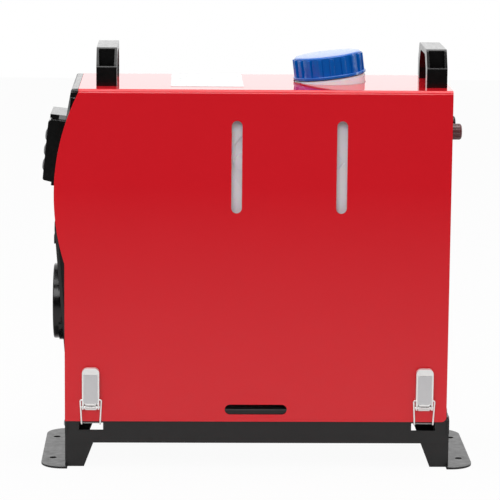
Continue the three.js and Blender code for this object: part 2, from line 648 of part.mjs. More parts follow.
// The fascia's side outline, moved inwards by inset to draw its hollow.
function fasciaOutline(inset, back, top) {
  const bottom = FLOOR + inset;
  const lip = COVER_TOP_EDGE + FASCIA_LIP - inset;
  const shape = new THREE.Shape();
  shape.moveTo(-back, bottom);
  shape.lineTo(-back, top);
  shape.lineTo(LIP_ROUND - lip, top);
  shape.quadraticCurveTo(-lip, top, -lip - LIP_ROUND / 5, top - LIP_ROUND);
  shape.lineTo(PANEL_TOP[0] + inset, PANEL_TOP[1]);
  const [bendTop, bendBottom] = [NOSE_HEIGHT + NOSE_BEND, NOSE_HEIGHT - NOSE_BEND];
  shape.lineTo(panelLine(bendTop) + inset, bendTop);
  const nose = panelLine(NOSE_HEIGHT) + inset;
  shape.quadraticCurveTo(nose, NOSE_HEIGHT, lowerLine(bendBottom) + inset, bendBottom);
  shape.lineTo(lowerLine(bottom) + inset, bottom);
  shape.closePath();
  return shape;
}

function frontFascia() {
  const width = [-FIT_HALF, FIT_HALF];
  const innerWidth = [FASCIA_WALL - FIT_HALF, FIT_HALF - FASCIA_WALL];
  const underCover = archedShape(FIT_HALF, 0, FIT_TOP, FIT_BEND);
  const besideCover = archedShape(FIT_HALF, 0, COVER_TOP, COVER_BEND);
  const edge = -COVER_TOP_EDGE - GAP;
  const envelope = joined(
    prism(underCover, 'x', [edge - 1, 0]),
    prism(besideCover, 'x', [-BOW_REACH - 20, edge]),
  );
  const raw = prism(fasciaOutline(0, FASCIA_BACK, COVER_TOP), 'y', width);
  const bossEnds = [BOSS_RECESS - RING_REACH, lowerLine(OUTLET_HEIGHT) + FASCIA_WALL];
  const boss = bar('x', RING_RADIUS + BOSS_MARGIN, bossEnds, [0, OUTLET_HEIGHT], ROUND);
  const [thick, across, tall] = BADGE_SIZE;
  const badgeHeight = OUTLET_HEIGHT + BADGE_RISE;
  const badgeFace = lowerLine(badgeHeight);
  const badge = block(
    [badgeFace - thick, badgeFace + FASCIA_WALL / 2],
    [-across / 2, across / 2],
    [badgeHeight - tall / 2, badgeHeight + tall / 2],
  );
  const hoodFloor = CONTROLLER_HEIGHT / 2 + GAP;
  const hood = block(
    [-HOOD_REACH, 1],
    [-HOOD_WIDTH / 2, HOOD_WIDTH / 2],
    [hoodFloor, hoodFloor + HOOD_THICK],
    PANEL_MATRIX,
  );
  const hollow = prism(fasciaOutline(FASCIA_WALL, FASCIA_BACK - 5, FIT_TOP - FASCIA_WALL), 'y', innerWidth);
  const outlet = bar('x', RING_RADIUS + GAP, [-RING_REACH - 5, -FASCIA_BACK], [0, OUTLET_HEIGHT], ROUND);
  const lead = bar('x', LEAD_HOLE, [-10, 10], [0, 0], 12, PANEL_MATRIX);
  const body = cut(joined(raw.intersect(envelope), boss), hollow);
  return cut(joined(body, badge, hood), outlet, lead);
}

function rearPanel() {
  const outer = archedShape(FIT_HALF, FLOOR, FIT_TOP, FIT_BEND);
  const hollow = archedShape(FIT_HALF - PANEL_WALL, FLOOR + PANEL_WALL, FIT_TOP - PANEL_WALL, 1);
  const body = prism(outer, 'x', [PANEL_OUTER - PANEL_DEPTH, PANEL_OUTER]);
  const pocket = prism(hollow, 'x', [PANEL_OUTER - PANEL_DEPTH - 1, PANEL_OUTER - PANEL_WALL]);
  const through = [PANEL_OUTER - PANEL_DEPTH, PANEL_OUTER + 1];
  const intake = bar('x', GRILLE_DIAMETER / 2 + GAP, through, [0, OUTLET_HEIGHT], ROUND);
  const studs = [-0.5, 0.5].map((side) => (
    bar('x', TERMINAL_STUD + GAP, through, [side * TERMINAL_SPREAD, TERMINAL_HEIGHT], 12)));
  return cut(body, pocket, intake, ...studs);
}

function intakeGrille() {
  const radius = GRILLE_DIAMETER / 2;
  const thickness = [PANEL_OUTER - PANEL_WALL, PANEL_OUTER];
  const rim = cut(
    bar('x', radius, thickness, [0, OUTLET_HEIGHT], ROUND),
    bar('x', radius - PANEL_WALL, [thickness[0] - 1, thickness[1] + 1], [0, OUTLET_HEIGHT], ROUND),
  );
  const half = radius - PANEL_WALL / 2;
  const postWidth = [-PANEL_WALL / 2, PANEL_WALL / 2];
  const post = block(thickness, postWidth, [OUTLET_HEIGHT - half, OUTLET_HEIGHT + half]);
  const pitch = (2 * radius) / (GRILLE_BARS + 1);
  const bars = Array.from({ length: GRILLE_BARS }, (_, i) => {
    const offset = pitch * (i + 1) - radius;
    const reach = Math.sqrt((radius - PANEL_WALL / 2) ** 2 - offset ** 2);
    const middle = OUTLET_HEIGHT + offset;
    return block(thickness, [-reach, reach], [middle - GRILLE_BAR / 2, middle + GRILLE_BAR / 2]);
  });
  return joined(rim, post, ...bars);
}

// The inner frame: an inverted U over the heater that carries the tank.
function innerFrame() {
  const halfDepth = INNER_HALF - SHELF_SIDE_ROOM;
  const depth = [-halfDepth, halfDepth];
  const [left, right] = SHELF_ENDS;
  const shell = cut(
    block(SHELF_ENDS, depth, [FLOOR, SHELF_TOP]),
    block(
      [left + SHELF_STEEL, right - SHELF_STEEL],
      [-halfDepth - 1, halfDepth + 1],
      [FLOOR - 1, SHELF_TOP - SHELF_STEEL],
    ),
  );
  const feet = [
    block([left, left + SHELF_FOOT], depth, [FLOOR, FLOOR + SHELF_STEEL]),
    block([right - SHELF_FOOT, right], depth, [FLOOR, FLOOR + SHELF_STEEL]),
  ];
  const outlet = bar('x', DUCT_RADIUS + HOLE_ROOM, [left - 1, left + 3], [0, OUTLET_HEIGHT], 24);
  const intake = bar('x', INTAKE_BELL + HOLE_ROOM, [right - 3, right + 1], [0, OUTLET_HEIGHT], 24);
  return cut(joined(shell, ...feet), outlet, intake);
}

// ---------------------------------------------------------------- handles and label
function handle(x) {
  const width = [x - HANDLE_WIDTH / 2, x + HANDLE_WIDTH / 2];
  const end = HANDLE_HALF_LENGTH;
  const leg = end - HANDLE_LEG;
  const top = end - HANDLE_SLOPE;
  const crown = HANDLE_HEIGHT - HANDLE_BAR;
  const half = [
    [end, 0], [end, HANDLE_KNEE], [top, HANDLE_HEIGHT],
    [-top, HANDLE_HEIGHT], [-end, HANDLE_KNEE], [-end, 0],
    [-leg, 0], [-leg, HANDLE_KNEE - 3], [HANDLE_SLOPE - leg, crown],
    [leg - HANDLE_SLOPE, crown], [leg, HANDLE_KNEE - 3], [leg, 0],
  ];
  const outline = polygon(half.map(([y, z]) => [y + HANDLE_CENTRE, z + COVER_TOP]));
  const pocketWidth = [width[0] + HANDLE_RIM, width[1] - HANDLE_RIM];
  const pockets = [-1, 1].map((side) => {
    const places = [side * (end - HANDLE_SKIN), side * (top - 1)].map((y) => y + HANDLE_CENTRE);
    const floor = COVER_TOP + HANDLE_KNEE - HANDLE_SKIN;
    return block(pocketWidth, places.sort((a, b) => a - b), [floor, COVER_TOP + HANDLE_HEIGHT - HANDLE_CROWN]);
  });
  return cut(prism(outline, 'x', width), ...pockets);
}

function labelPlate() {
  const [front, back] = [LABEL_MARGINS[0] - HALF_DEPTH, HALF_DEPTH - LABEL_MARGINS[1]];
  const outline = roundedRectangle(LABEL_WIDTH, back - front, LABEL_CORNER, [LABEL_PLACE, (front + back) / 2]);
  return prism(outline, 'z', [COVER_TOP, COVER_TOP + LABEL_THICK], undefined, 2);
}

// ---------------------------------------------------------------- control panel
function controllerBody() {
  const [half, depth] = [CONTROLLER_HEIGHT / 2, CONTROLLER_DEPTH];
  const [lapse, rise] = CONTROLLER_CHAMFER;
  const outline = new THREE.Shape();
  outline.moveTo(-GAP, -half);
  outline.lineTo(-GAP, half);
  outline.lineTo(CONTROLLER_ROUND - depth, half);
  outline.quadraticCurveTo(-depth, half, -depth, half - CONTROLLER_ROUND);
  outline.lineTo(-depth, lapse - half);
  outline.quadraticCurveTo(-depth, rise - half, 2 * rise - depth, rise - half);
  outline.lineTo(-lapse, -half);
  outline.closePath();
  const body = prism(outline, 'y', [-CONTROLLER_WIDTH / 2, CONTROLLER_WIDTH / 2], undefined, 3);
  const wall = CONTROLLER_WALL;
  const hollow = block(
    [wall - depth, 1],
    [wall - CONTROLLER_WIDTH / 2, CONTROLLER_WIDTH / 2 - wall],
    [2 * wall - half, half - wall],
  );
  const recess = block(
    [-depth - 1, SCREEN_GLASS + GAP - depth],
    [SCREEN_PLACE - SCREEN_WIDTH / 2 - GAP, SCREEN_PLACE + SCREEN_WIDTH / 2 + GAP],
    [-SCREEN_HEIGHT / 2 - GAP, SCREEN_HEIGHT / 2 + GAP],
  );
  const holes = [-1, 0, 1].map((row) => prism(
    roundedRectangle(
      BUTTON_WIDTH + 2 * GAP, BUTTON_HEIGHT + 2 * GAP, BUTTON_CORNER, [BUTTON_PLACE, row * BUTTON_PITCH]),
    'x', [-depth - 1, wall - depth + 1], undefined, 2,
  ));
  return cut(body, hollow, recess, ...holes);
}

function controllerScreen() {
  return block(
    [-CONTROLLER_DEPTH, SCREEN_GLASS - CONTROLLER_DEPTH],
    [SCREEN_PLACE - SCREEN_WIDTH / 2, SCREEN_PLACE + SCREEN_WIDTH / 2],
    [-SCREEN_HEIGHT / 2, SCREEN_HEIGHT / 2],
  );
}

function button(row) {
  const place = [BUTTON_PLACE, row * BUTTON_PITCH];
  const face = -CONTROLLER_DEPTH;
  const behind = face + CONTROLLER_WALL + GAP;
  const layer = (margin, span) => prism(
    roundedRectangle(BUTTON_WIDTH + 2 * margin, BUTTON_HEIGHT + 2 * margin, BUTTON_CORNER, place),
    'x', span, undefined, 1);
  const key = layer(0, [face - BUTTON_PROUD + BUTTON_STEP, behind + 0.1]);
  const crown = layer(-BUTTON_FLANGE, [face - BUTTON_PROUD, face]);
  const flange = layer(BUTTON_FLANGE, [behind, behind + 1]);
  return joined(key, crown, flange);
}

// ---------------------------------------------------------------- outlet
function outletRing() {
  const [outer, inner] = [RING_RADIUS, RING_RADIUS - RING_WALL];
  const back = -RING_REACH + RING_LENGTH;
  const sleeve = turned(
    [[back, inner], [back, outer], [1.2 - RING_REACH, outer], [-RING_REACH, outer - 1], [-RING_REACH, inner]],
    'x', [0, OUTLET_HEIGHT], ROUND);
  const vanes = [-2, -1, 0, 1, 2].map((place) => {
    const offset = place * VANE_PITCH;
    const reach = Math.sqrt((inner + 1) ** 2 - offset ** 2);
    const span = [OUTLET_HEIGHT + offset - VANE_THICK / 2, OUTLET_HEIGHT + offset + VANE_THICK / 2];
    return block([VANE_INSET - RING_REACH, VANE_INSET + VANE_DEPTH - RING_REACH], [-reach, reach], span);
  });
  return joined(sleeve, ...vanes);
}

// ---------------------------------------------------------------- tank and cap
function fuelTank() {
  const [left, right] = TANK_ENDS;
  const plan = (inset) => roundedRectangle(
    right - left - 2 * inset, 2 * (TANK_HALF_DEPTH - inset), TANK_CORNER - inset, [(left + right) / 2, 0]);
  const body = prism(plan(0), 'z', [TANK_BOTTOM, TANK_TOP], undefined, 2);
  const cavity = prism(plan(TANK_WALL), 'z', [TANK_BOTTOM + TANK_WALL, TANK_TOP - TANK_WALL], undefined, 2);
  const past = [-2 * CAP_FLANGE, 2 * CAP_FLANGE];
  const collar = cut(
    bar('z', COLLAR_RADIUS, [TANK_TOP - 1, CAP_BASE + CAP_HEIGHT], CAP_PLACE, ROUND),
    block(past, past, [-1, 3 * CAP_HEIGHT], CAP_MATRIX),
  );
  const neck = bar('z', NECK_RADIUS, [-6, NECK_HEIGHT], [0, 0], ROUND, CAP_MATRIX);
  const thread = threadRidge(NECK_RADIUS - 0.5, NECK_RADIUS + THREAD_DEPTH, 2).transform(CAP_MATRIX.elements);
  const boreEnds = [TANK_TOP - CAP_BASE - 8, NECK_HEIGHT + 1];
  const bore = bar('z', NECK_RADIUS - NECK_WALL, boreEnds, [0, 0], 24, CAP_MATRIX);
  const [ribWidth, ribDepth] = TANK_RIB;
  const halfLength = TANK_RIB_LENGTH / 2;
  const grooves = [];
  for (const x of TANK_RIB_CROSSINGS) {
    for (const lean of [-1, 1]) {
      const turn = new THREE.Matrix4()
        .makeRotationY(lean * TANK_RIB_ANGLE)
        .setPosition(x, 0, WINDOW_MIDDLE + TANK_RIB_RISE);
      for (const side of [-1, 1]) {
        const faces = [TANK_HALF_DEPTH - ribDepth, TANK_HALF_DEPTH + 2].map((y) => side * y);
        faces.sort((a, b) => a - b);
        grooves.push(block([-halfLength, halfLength], faces, [-ribWidth / 2, ribWidth / 2], turn));
      }
    }
  }
  const core = block(
    [left + TANK_CORNER, right - TANK_CORNER],
    [-TANK_HALF_DEPTH - 3, TANK_HALF_DEPTH + 3],
    [TANK_BOTTOM + TANK_RIB_MARGIN, TANK_TOP - TANK_RIB_MARGIN],
  );
  const outletStub = bar('x', STUB_RADIUS, [left - STUB_LENGTH + 4, left + 1], TANK_OUTLET, 8);
  const pattern = joined(grooves[0], ...grooves.slice(1)).intersect(core);
  return cut(joined(cut(body, pattern), collar, neck, thread, outletStub), cavity, bore);
}

function fuelCap() {
  const profile = [
    [0, CAP_FLANGE], [CAP_HEIGHT - CAP_EDGE, CAP_FLANGE], [CAP_HEIGHT, CAP_RADIUS - CAP_EDGE], [CAP_HEIGHT, 0],
    [0, 0],
  ];
  const envelope = turned(profile, 'z', [0, 0], ROUND);
  const outline = toothedOutline(CAP_RIBS, CAP_RADIUS - CAP_RIB_DEPTH, CAP_RADIUS, 0.4);
  const skirt = prism(outline, 'z', [0, CAP_HEIGHT]);
  const flange = bar('z', CAP_FLANGE, [0, CAP_FLANGE_HEIGHT], [0, 0], 36);
  const bore = bar('z', CAP_BORE, [-1, CAP_HEIGHT - CAP_WALL], [0, 0], ROUND);
  const thread = threadRidge(CAP_BORE + 0.5, CAP_BORE - THREAD_DEPTH, 2 + THREAD_PITCH / 2);
  return joined(cut(joined(skirt.intersect(envelope), flange), bore), thread);
}

function capLiner() {
  const top = CAP_HEIGHT - CAP_WALL - GAP;
  return bar('z', CAP_BORE - 2 * GAP, [top - LINER_THICK, top], [0, 0], 24);
}

// ---------------------------------------------------------------- power terminals
function terminalStud(side) {
  const place = [side * TERMINAL_SPREAD / 2, TERMINAL_HEIGHT];
  const inside = PANEL_OUTER - PANEL_WALL;
  const stud = bar('x', TERMINAL_STUD, [inside - 6, TERMINAL_REACH - 5], place, 12);
  const nut = bar('x', NUT_RADIUS, [inside - GAP - 3, inside - GAP], place, 6);
  return joined(stud, nut);
}

function terminalKnob(side) {
  const place = [side * TERMINAL_SPREAD / 2, TERMINAL_HEIGHT];
  const radius = TERMINAL_DIAMETER / 2;
  const [near, far] = [PANEL_OUTER + GAP, TERMINAL_REACH];
  const [chamfer, drop] = TERMINAL_CHAMFER;
  return turned(
    [
      [near, TERMINAL_STUD + GAP], [near, radius], [far - chamfer, radius], [far, radius - drop], [far, 0],
      [far - 5 + GAP, 0], [far - 5 + GAP, TERMINAL_STUD + GAP],
    ],
    'x', place, 20);
}

// ---------------------------------------------------------------- latches
// Drawn on the -Y side about X = 0; the cover's face lies at Y = -HALF_DEPTH.
const PIVOT_Y = -HALF_DEPTH - LATCH_PIVOT_PROUD;
const LATCH_FACE = -HALF_DEPTH - LATCH_DEPTH;
const LATCH_BACK = -HALF_DEPTH - 1.5;
const BAIL_Z = LATCH_PIVOT + BAIL_PIVOT;
const BAIL_Y = PIVOT_Y + BAIL_PIVOT_INSET;

function latchBase() {
  const mount = -HALF_DEPTH - GAP;
  const plate = block([-6.2, 6.2], [mount - 1, mount], [LATCH_PIVOT - 3.5, LATCH_PIVOT + 30]);
  const reach = 2.2;
  const ear = new THREE.Shape();
  ear.moveTo(mount, LATCH_PIVOT + 5);
  ear.lineTo(mount, LATCH_PIVOT - 2);
  ear.absarc(PIVOT_Y, LATCH_PIVOT, reach, -Math.PI / 2, -1.5 * Math.PI, true);
  ear.closePath();
  const ears = [[-6.2, -5.1], [5.1, 6.2]].map((span) => prism(ear, 'x', span, undefined, 3));
  const pin = bar('x', BAIL_WIRE, [-LATCH_WIDTH / 2 - 0.6, LATCH_WIDTH / 2 + 0.6], [PIVOT_Y, LATCH_PIVOT], 8);
  return joined(plate, ...ears, pin);
}

function latchLever() {
  const half = LATCH_WIDTH / 2;
  const outline = new THREE.Shape();
  outline.moveTo(-half, LATCH_PIVOT - 2);
  outline.lineTo(half, LATCH_PIVOT - 2);
  outline.absarc(0, LATCH_TOP - half, half, 0, Math.PI);
  outline.closePath();
  const body = prism(outline, 'y', [LATCH_FACE, LATCH_BACK], undefined, 4);
  const channel = block(
    [LATCH_SKIN - half, half - LATCH_SKIN],
    [LATCH_FACE + LATCH_SKIN, LATCH_BACK + 1],
    [0, LATCH_TOP - half],
  );
  const through = [-half - 1, half + 1];
  const mouth = block(through, [LATCH_FACE - 1, LATCH_FACE + LATCH_SKIN], [0, LATCH_PIVOT + 2.5]);
  const [low, high] = [LATCH_PIVOT + INSET_ENDS[0], LATCH_TOP - INSET_ENDS[1]];
  const inset = prism(
    roundedRectangle(LATCH_WIDTH - 2 * LATCH_SKIN, high - low, LATCH_SKIN, [0, (low + high) / 2]),
    'y', [LATCH_FACE - 1, LATCH_FACE + INSET_DEPTH], undefined, 2);
  const hole = BAIL_WIRE + PIN_CLEARANCE;
  const pinPlaces = [[PIVOT_Y, LATCH_PIVOT], [BAIL_Y, BAIL_Z]];
  const holes = pinPlaces.map((place) => bar('x', hole, through, place, 8));
  const trims = block(through, [PIVOT_Y + LATCH_HEEL, 0], [0, LATCH_PIVOT + 4]);
  return cut(body, channel, mouth, inset, ...holes, trims);
}

function latchBail() {
  const side = BAIL_HALF_WIDTH;
  const peg = LATCH_WIDTH / 2 - LATCH_SKIN + 0.2;
  const drop = LATCH_WINDOW_TOP - GAP - BAIL_WIRE;
  const front = -HALF_DEPTH - 1.8;
  const hook = -FIT_HALF + FRAME_STEEL + GAP + 1.8;
  const right = [[peg, BAIL_Y, BAIL_Z], [side + 0.8, BAIL_Y, BAIL_Z], [side, front, drop], [side, hook, drop]];
  const left = right.map(([x, y, z]) => [-x, y, z]).reverse();
  return bentWire([...right, ...left], 1.8, BAIL_WIRE);
}

function latch(name, x, back) {
  const group = new THREE.Group();
  group.rotation.z = back ? Math.PI : 0;
  group.position.x = x;
  add(`latch_base_${name}`, latchBase(), nickel, group);
  add(`latch_lever_${name}`, latchLever(), nickel, group);
  add(`latch_bail_${name}`, latchBail(), nickel, group);
  heater.add(group);
}

// ---------------------------------------------------------------- heater unit
function heaterShell(low, high) {
  const outline = roundedRectangle(SHELL_WIDTH, SHELL_HEIGHT, SHELL_CORNER, [0, OUTLET_HEIGHT]);
  const wall = 2 * SHELL_WALL;
  const inner = roundedRectangle(
    SHELL_WIDTH - wall, SHELL_HEIGHT - wall, SHELL_CORNER - SHELL_WALL, [0, OUTLET_HEIGHT]);
  const [left, right] = SHELL_ENDS;
  const hollow = cut(
    prism(outline, 'x', SHELL_ENDS, undefined, 3),
    prism(inner, 'x', [left + SHELL_WALL, right - SHELL_WALL], undefined, 3),
    bar('x', DUCT_FLANGE - 4, [left - 1, left + 4], [0, OUTLET_HEIGHT]),
    bar('x', INTAKE_BELL, [right - 4, right + 1], [0, OUTLET_HEIGHT]),
    ...[EXHAUST, AIR_INTAKE].map(([x, radius]) => bar('z', radius + GAP, [0, OUTLET_HEIGHT], [x, 0])),
  );
  return hollow.intersect(block([left - 1, right + 1], [-SHELL_WIDTH, SHELL_WIDTH], [low, high]));
}

function heaterStand() {
  const top = SHELL_BOTTOM - GASKET - 2 * GAP;
  const half = STAND_WIDTH / 2;
  const [left, right] = STAND_ENDS;
  const saddle = cut(
    block(STAND_ENDS, [-half, half], [FLOOR, top]),
    block([left - 1, right + 1], [STAND_STEEL - half, half - STAND_STEEL], [0, top - STAND_STEEL]),
  );
  const holes = [EXHAUST, AIR_INTAKE].map(([x, radius]) => bar('z', radius + GAP, [0, SHELL_BOTTOM], [x, 0]));
  return cut(saddle, ...holes);
}

function flangeGasket() {
  const place = [(EXHAUST[0] + AIR_INTAKE[0]) / 2, 0];
  const length = AIR_INTAKE[0] - EXHAUST[0] + 2 * GASKET_MARGIN;
  const outline = roundedRectangle(length, 2 * GASKET_MARGIN, GASKET_CORNER, place);
  const sheet = prism(outline, 'z', [SHELL_BOTTOM - GAP - GASKET, SHELL_BOTTOM - GAP], undefined, 3);
  const holes = [EXHAUST, AIR_INTAKE].map(([x, radius]) => bar('z', radius + GAP, [0, SHELL_BOTTOM], [x, 0]));
  return cut(sheet, ...holes);
}

function outletDuct() {
  const start = SHELL_ENDS[0] - GAP;
  const end = -RING_REACH + RING_LENGTH - 4;
  const cone = SHELL_ENDS[0] - DUCT_CONE;
  const wall = DUCT_WALL;
  return turned(
    [
      [start, DUCT_FLANGE], [start - 2, DUCT_FLANGE], [start - 2, DUCT_FLANGE - 2 * wall], [cone, DUCT_RADIUS],
      [end, DUCT_RADIUS], [end, DUCT_RADIUS - wall], [cone, DUCT_RADIUS - wall],
      [start, DUCT_FLANGE - 3 * wall],
    ],
    'x', [0, OUTLET_HEIGHT]);
}

function heatExchanger() {
  const [left, right] = EXCHANGER_ENDS;
  const centred = new THREE.Matrix4().makeTranslation(0, 0, OUTLET_HEIGHT);
  const outline = toothedOutline(EXCHANGER_FINS, EXCHANGER_CORE, EXCHANGER_FIN, 0.24);
  const body = prism(outline, 'x', [left, right], centred);
  const bore = bar('x', EXCHANGER_BORE, [left + 8, right + 1], [0, OUTLET_HEIGHT], 24);
  const exhaust = bar('z', EXHAUST[1] + GAP, [0, OUTLET_HEIGHT], [EXHAUST[0], 0]);
  const plug = bar('z', GLOW_PLUG_STEM + GAP, [OUTLET_HEIGHT, COVER_TOP], [GLOW_PLUG_PLACE, 0], 10);
  return cut(body, bore, exhaust, plug);
}

function combustionChamber() {
  const [left, right] = [EXCHANGER_ENDS[0] + 20, EXCHANGER_ENDS[1] + GAP];
  const [outer, wall] = [CHAMBER_RADIUS, CHAMBER_WALL];
  const flange = EXCHANGER_CORE - 2;
  return turned(
    [
      [left, outer - wall], [left, outer], [right, outer], [right, flange], [right + 1.5, flange],
      [right + 1.5, outer - wall],
    ],
    'x', [0, OUTLET_HEIGHT]);
}

function glowPlug() {
  const foot = OUTLET_HEIGHT + CHAMBER_RADIUS + GAP;
  const seat = OUTLET_HEIGHT + EXCHANGER_FIN + GAP;
  const stem = bar('z', GLOW_PLUG_STEM, [foot, seat + 1], [GLOW_PLUG_PLACE, 0], 10);
  return joined(stem, bar('z', GLOW_PLUG_HEAD, [seat, seat + GLOW_PLUG_STEM], [GLOW_PLUG_PLACE, 0], 6));
}

function blowerHousing() {
  const [left, right] = BLOWER_ENDS;
  const [outer, wall] = [BLOWER_RADIUS, BLOWER_WALL];
  const body = turned(
    [
      [left, BLOWER_EYE], [left, outer], [right, outer], [right, outer - wall], [left + wall, outer - wall],
      [left + wall, BLOWER_EYE],
    ],
    'x', [0, OUTLET_HEIGHT]);
  return cut(body, bar('z', AIR_INTAKE[1] + GAP, [0, OUTLET_HEIGHT - BLOWER_EYE], [AIR_INTAKE[0], 0]));
}

function combustionBlower() {
  const [left, right] = [BLOWER_ENDS[0] + 2 * BLOWER_WALL, BLOWER_ENDS[1] - BLOWER_WALL];
  const tip = BLOWER_RADIUS - BLOWER_WALL - 5;
  const disc = bar('x', tip + 1, [left, left + 2], [0, OUTLET_HEIGHT], 24);
  const hub = bar('x', FAN_HUB / 2, [left, right], [0, OUTLET_HEIGHT], 12);
  const blades = Array.from({ length: BLOWER_BLADES }, (_, i) => {
    const angle = (2 * Math.PI * i) / BLOWER_BLADES;
    const turn = new THREE.Matrix4().makeRotationX(angle).setPosition(0, 0, OUTLET_HEIGHT);
    return block([left + 1, right], [-BLADE_THICK / 2, BLADE_THICK / 2], [FAN_HUB / 2 - 2, tip], turn);
  });
  const bore = bar('x', SHAFT_RADIUS + GAP, [left - 1, right + 1], [0, OUTLET_HEIGHT], 12);
  return cut(joined(disc, hub, ...blades), bore);
}

function blowerMotor() {
  const [left, right] = MOTOR_ENDS;
  const can = bar('x', MOTOR_RADIUS, [left + 1, right], [0, OUTLET_HEIGHT], 24);
  const plate = bar('x', BLOWER_RADIUS, [left, left + 2], [0, OUTLET_HEIGHT], 24);
  return cut(joined(can, plate), bar('x', SHAFT_RADIUS + GAP, [left - 1, right + 1], [0, OUTLET_HEIGHT], 12));
}

function motorShaft() {
  const [left, right] = [BLOWER_ENDS[0] + 2 * BLOWER_WALL + 1, FAN_ENDS[1]];
  return bar('x', SHAFT_RADIUS, [left, right], [0, OUTLET_HEIGHT], 12);
}

function fanWheel() {
  const [left, right] = FAN_ENDS;
  const hub = bar('x', FAN_HUB, [left, right], [0, OUTLET_HEIGHT], 18);
  const middle = (left + right) / 2;
  const [chord, thick] = FAN_BLADE;
  const blades = Array.from({ length: FAN_BLADES }, (_, i) => {
    const turn = new THREE.Matrix4()
      .makeRotationX((2 * Math.PI * i) / FAN_BLADES)
      .multiply(new THREE.Matrix4().makeRotationZ(FAN_PITCH))
      .setPosition(middle, 0, OUTLET_HEIGHT);
    return block([-chord / 2, chord / 2], [-thick / 2, thick / 2], [FAN_HUB - 4, FAN_RADIUS - 2], turn);
  });
  const bore = bar('x', SHAFT_RADIUS + GAP, [left - 1, right + 1], [0, OUTLET_HEIGHT], 12);
  return cut(joined(hub, ...blades), bore);
}

function controlBoard() {
  const [length, width, thick] = BOARD_SIZE;
  const x = (MOTOR_ENDS[0] + MOTOR_ENDS[1]) / 2 + BOARD_OFFSET;
  const floor = OUTLET_HEIGHT + MOTOR_RADIUS + GAP;
  const [halfX, halfY] = CHIP_SIZE.map((size) => size / 2);
  const chips = CHIPS.map(([dx, y, tall]) => block(
    [x + dx - halfX, x + dx + halfX],
    [y - halfY, y + halfY],
    [floor + thick / 2, floor + thick + tall],
  ));
  const board = block([x - length / 2, x + length / 2], [-width / 2, width / 2], [floor, floor + thick]);
  return joined(board, ...chips);
}

function pipe([x, radius], top) {
  return cut(
    bar('z', radius, [FRAME_FLOOR + PIPE_RISE, top], [x, 0]),
    bar('z', radius - PIPE_WALL, [FRAME_FLOOR, top + 1], [x, 0]),
  );
}

// ---------------------------------------------------------------- fuel line
function fuelPump() {
  const [x, y] = PUMP_PLACE;
  const [low, high] = PUMP_BODY;
  const body = turned(
    [
      [low - STUB_LENGTH, 0], [low - STUB_LENGTH, STUB_RADIUS], [low - 2, STUB_RADIUS], [low, PUMP_NECK],
      [low + 3, PUMP_RADIUS], [high - 3, PUMP_RADIUS], [high, PUMP_NECK], [high + 2, STUB_RADIUS],
      [high + STUB_LENGTH, STUB_RADIUS], [high + STUB_LENGTH, 0],
    ],
    'z', [x, y], 20);
  const bore = bar('z', PLUNGER_RADIUS + GAP, [low + PUMP_END, high - PUMP_END], [x, y], 12);
  const passage = bar('z', PASSAGE_RADIUS, [low - STUB_LENGTH - 1, high + STUB_LENGTH + 1], [x, y], 8);
  return cut(body, bore, passage);
}

function pumpPlunger() {
  const [low, high] = [PUMP_BODY[0] + PUMP_END, PUMP_BODY[1] - PUMP_END];
  return bar('z', PLUNGER_RADIUS, [low + GAP, high - PLUNGER_STROKE_ROOM], PUMP_PLACE, 12);
}

function pumpBracket() {
  const [x, y] = PUMP_PLACE;
  const bandFloor = PUMP_BODY[0] + BRACKET_RISE;
  const bandTop = bandFloor + BRACKET_BAND;
  const outer = PUMP_RADIUS + BRACKET_WALL;
  const back = y + outer + 1;
  const width = [x - BRACKET_WIDTH / 2, x + BRACKET_WIDTH / 2];
  const clamp = bar('z', outer, [bandFloor, bandTop], PUMP_PLACE, 20);
  const leg = block(width, [back - BRACKET_WALL, back], [TANK_BOTTOM, bandTop]);
  const foot = block(width, [y + 4, back], [TANK_BOTTOM, TANK_BOTTOM + BRACKET_FOOT]);
  const bore = bar('z', PUMP_RADIUS + GAP, [TANK_BOTTOM - 1, bandTop + 1], PUMP_PLACE, 20);
  const hoseRoom = bar('z', 2 * HOSE_RADIUS, [TANK_BOTTOM - 1, bandFloor], PUMP_PLACE, 10);
  return joined(cut(joined(clamp, leg), bore), cut(foot, hoseRoom));
}

function fuelFilter() {
  const [low, high] = FILTER_BODY;
  const profile = [
    [low - STUB_LENGTH, 0], [low - STUB_LENGTH, STUB_RADIUS], [low, STUB_RADIUS],
    [low + FILTER_TAPER, FILTER_RADIUS], [high - FILTER_TAPER, FILTER_RADIUS],
    [high, STUB_RADIUS], [high + STUB_LENGTH, STUB_RADIUS], [high + STUB_LENGTH, 0],
  ];
  const passage = bar('z', PASSAGE_RADIUS, [low - STUB_LENGTH - 1, high + STUB_LENGTH + 1], FILTER_PLACE, 8);
  return cut(turned(profile, 'z', FILTER_PLACE, 16), passage);
}

function tankHose() {
  const [x, y] = FILTER_PLACE;
  const top = FILTER_BODY[1] + STUB_LENGTH + GAP;
  const stub = TANK_ENDS[0] - STUB_LENGTH + 4 - GAP;
  const [outletY, outletZ] = TANK_OUTLET;
  return hose([
    [stub, outletY, outletZ], [stub - 4, outletY, outletZ], [x + 5, outletY - 4, outletZ + 8],
    [x + 2, outletY - 6, outletZ + 40], [x, outletY - 6, top - 4], [x, outletY + 4, top + 14],
    [x, y, top + 12], [x, y, top + 4], [x, y, top],
  ], 24);
}

function filterHose() {
  const [x, y] = FILTER_PLACE;
  const [pumpX, pumpY] = PUMP_PLACE;
  const filterEnd = FILTER_BODY[0] - STUB_LENGTH - GAP;
  const pumpEnd = PUMP_BODY[0] - STUB_LENGTH - GAP;
  const low = TANK_BOTTOM + HOSE_RADIUS + GAP;
  return hose([
    [x, y, filterEnd], [x, y, filterEnd - 4], [x, y + 10, low + 1], [x, 0, low], [pumpX, pumpY - 10, low],
    [pumpX, pumpY, pumpEnd - 3], [pumpX, pumpY, pumpEnd],
  ], 18);
}

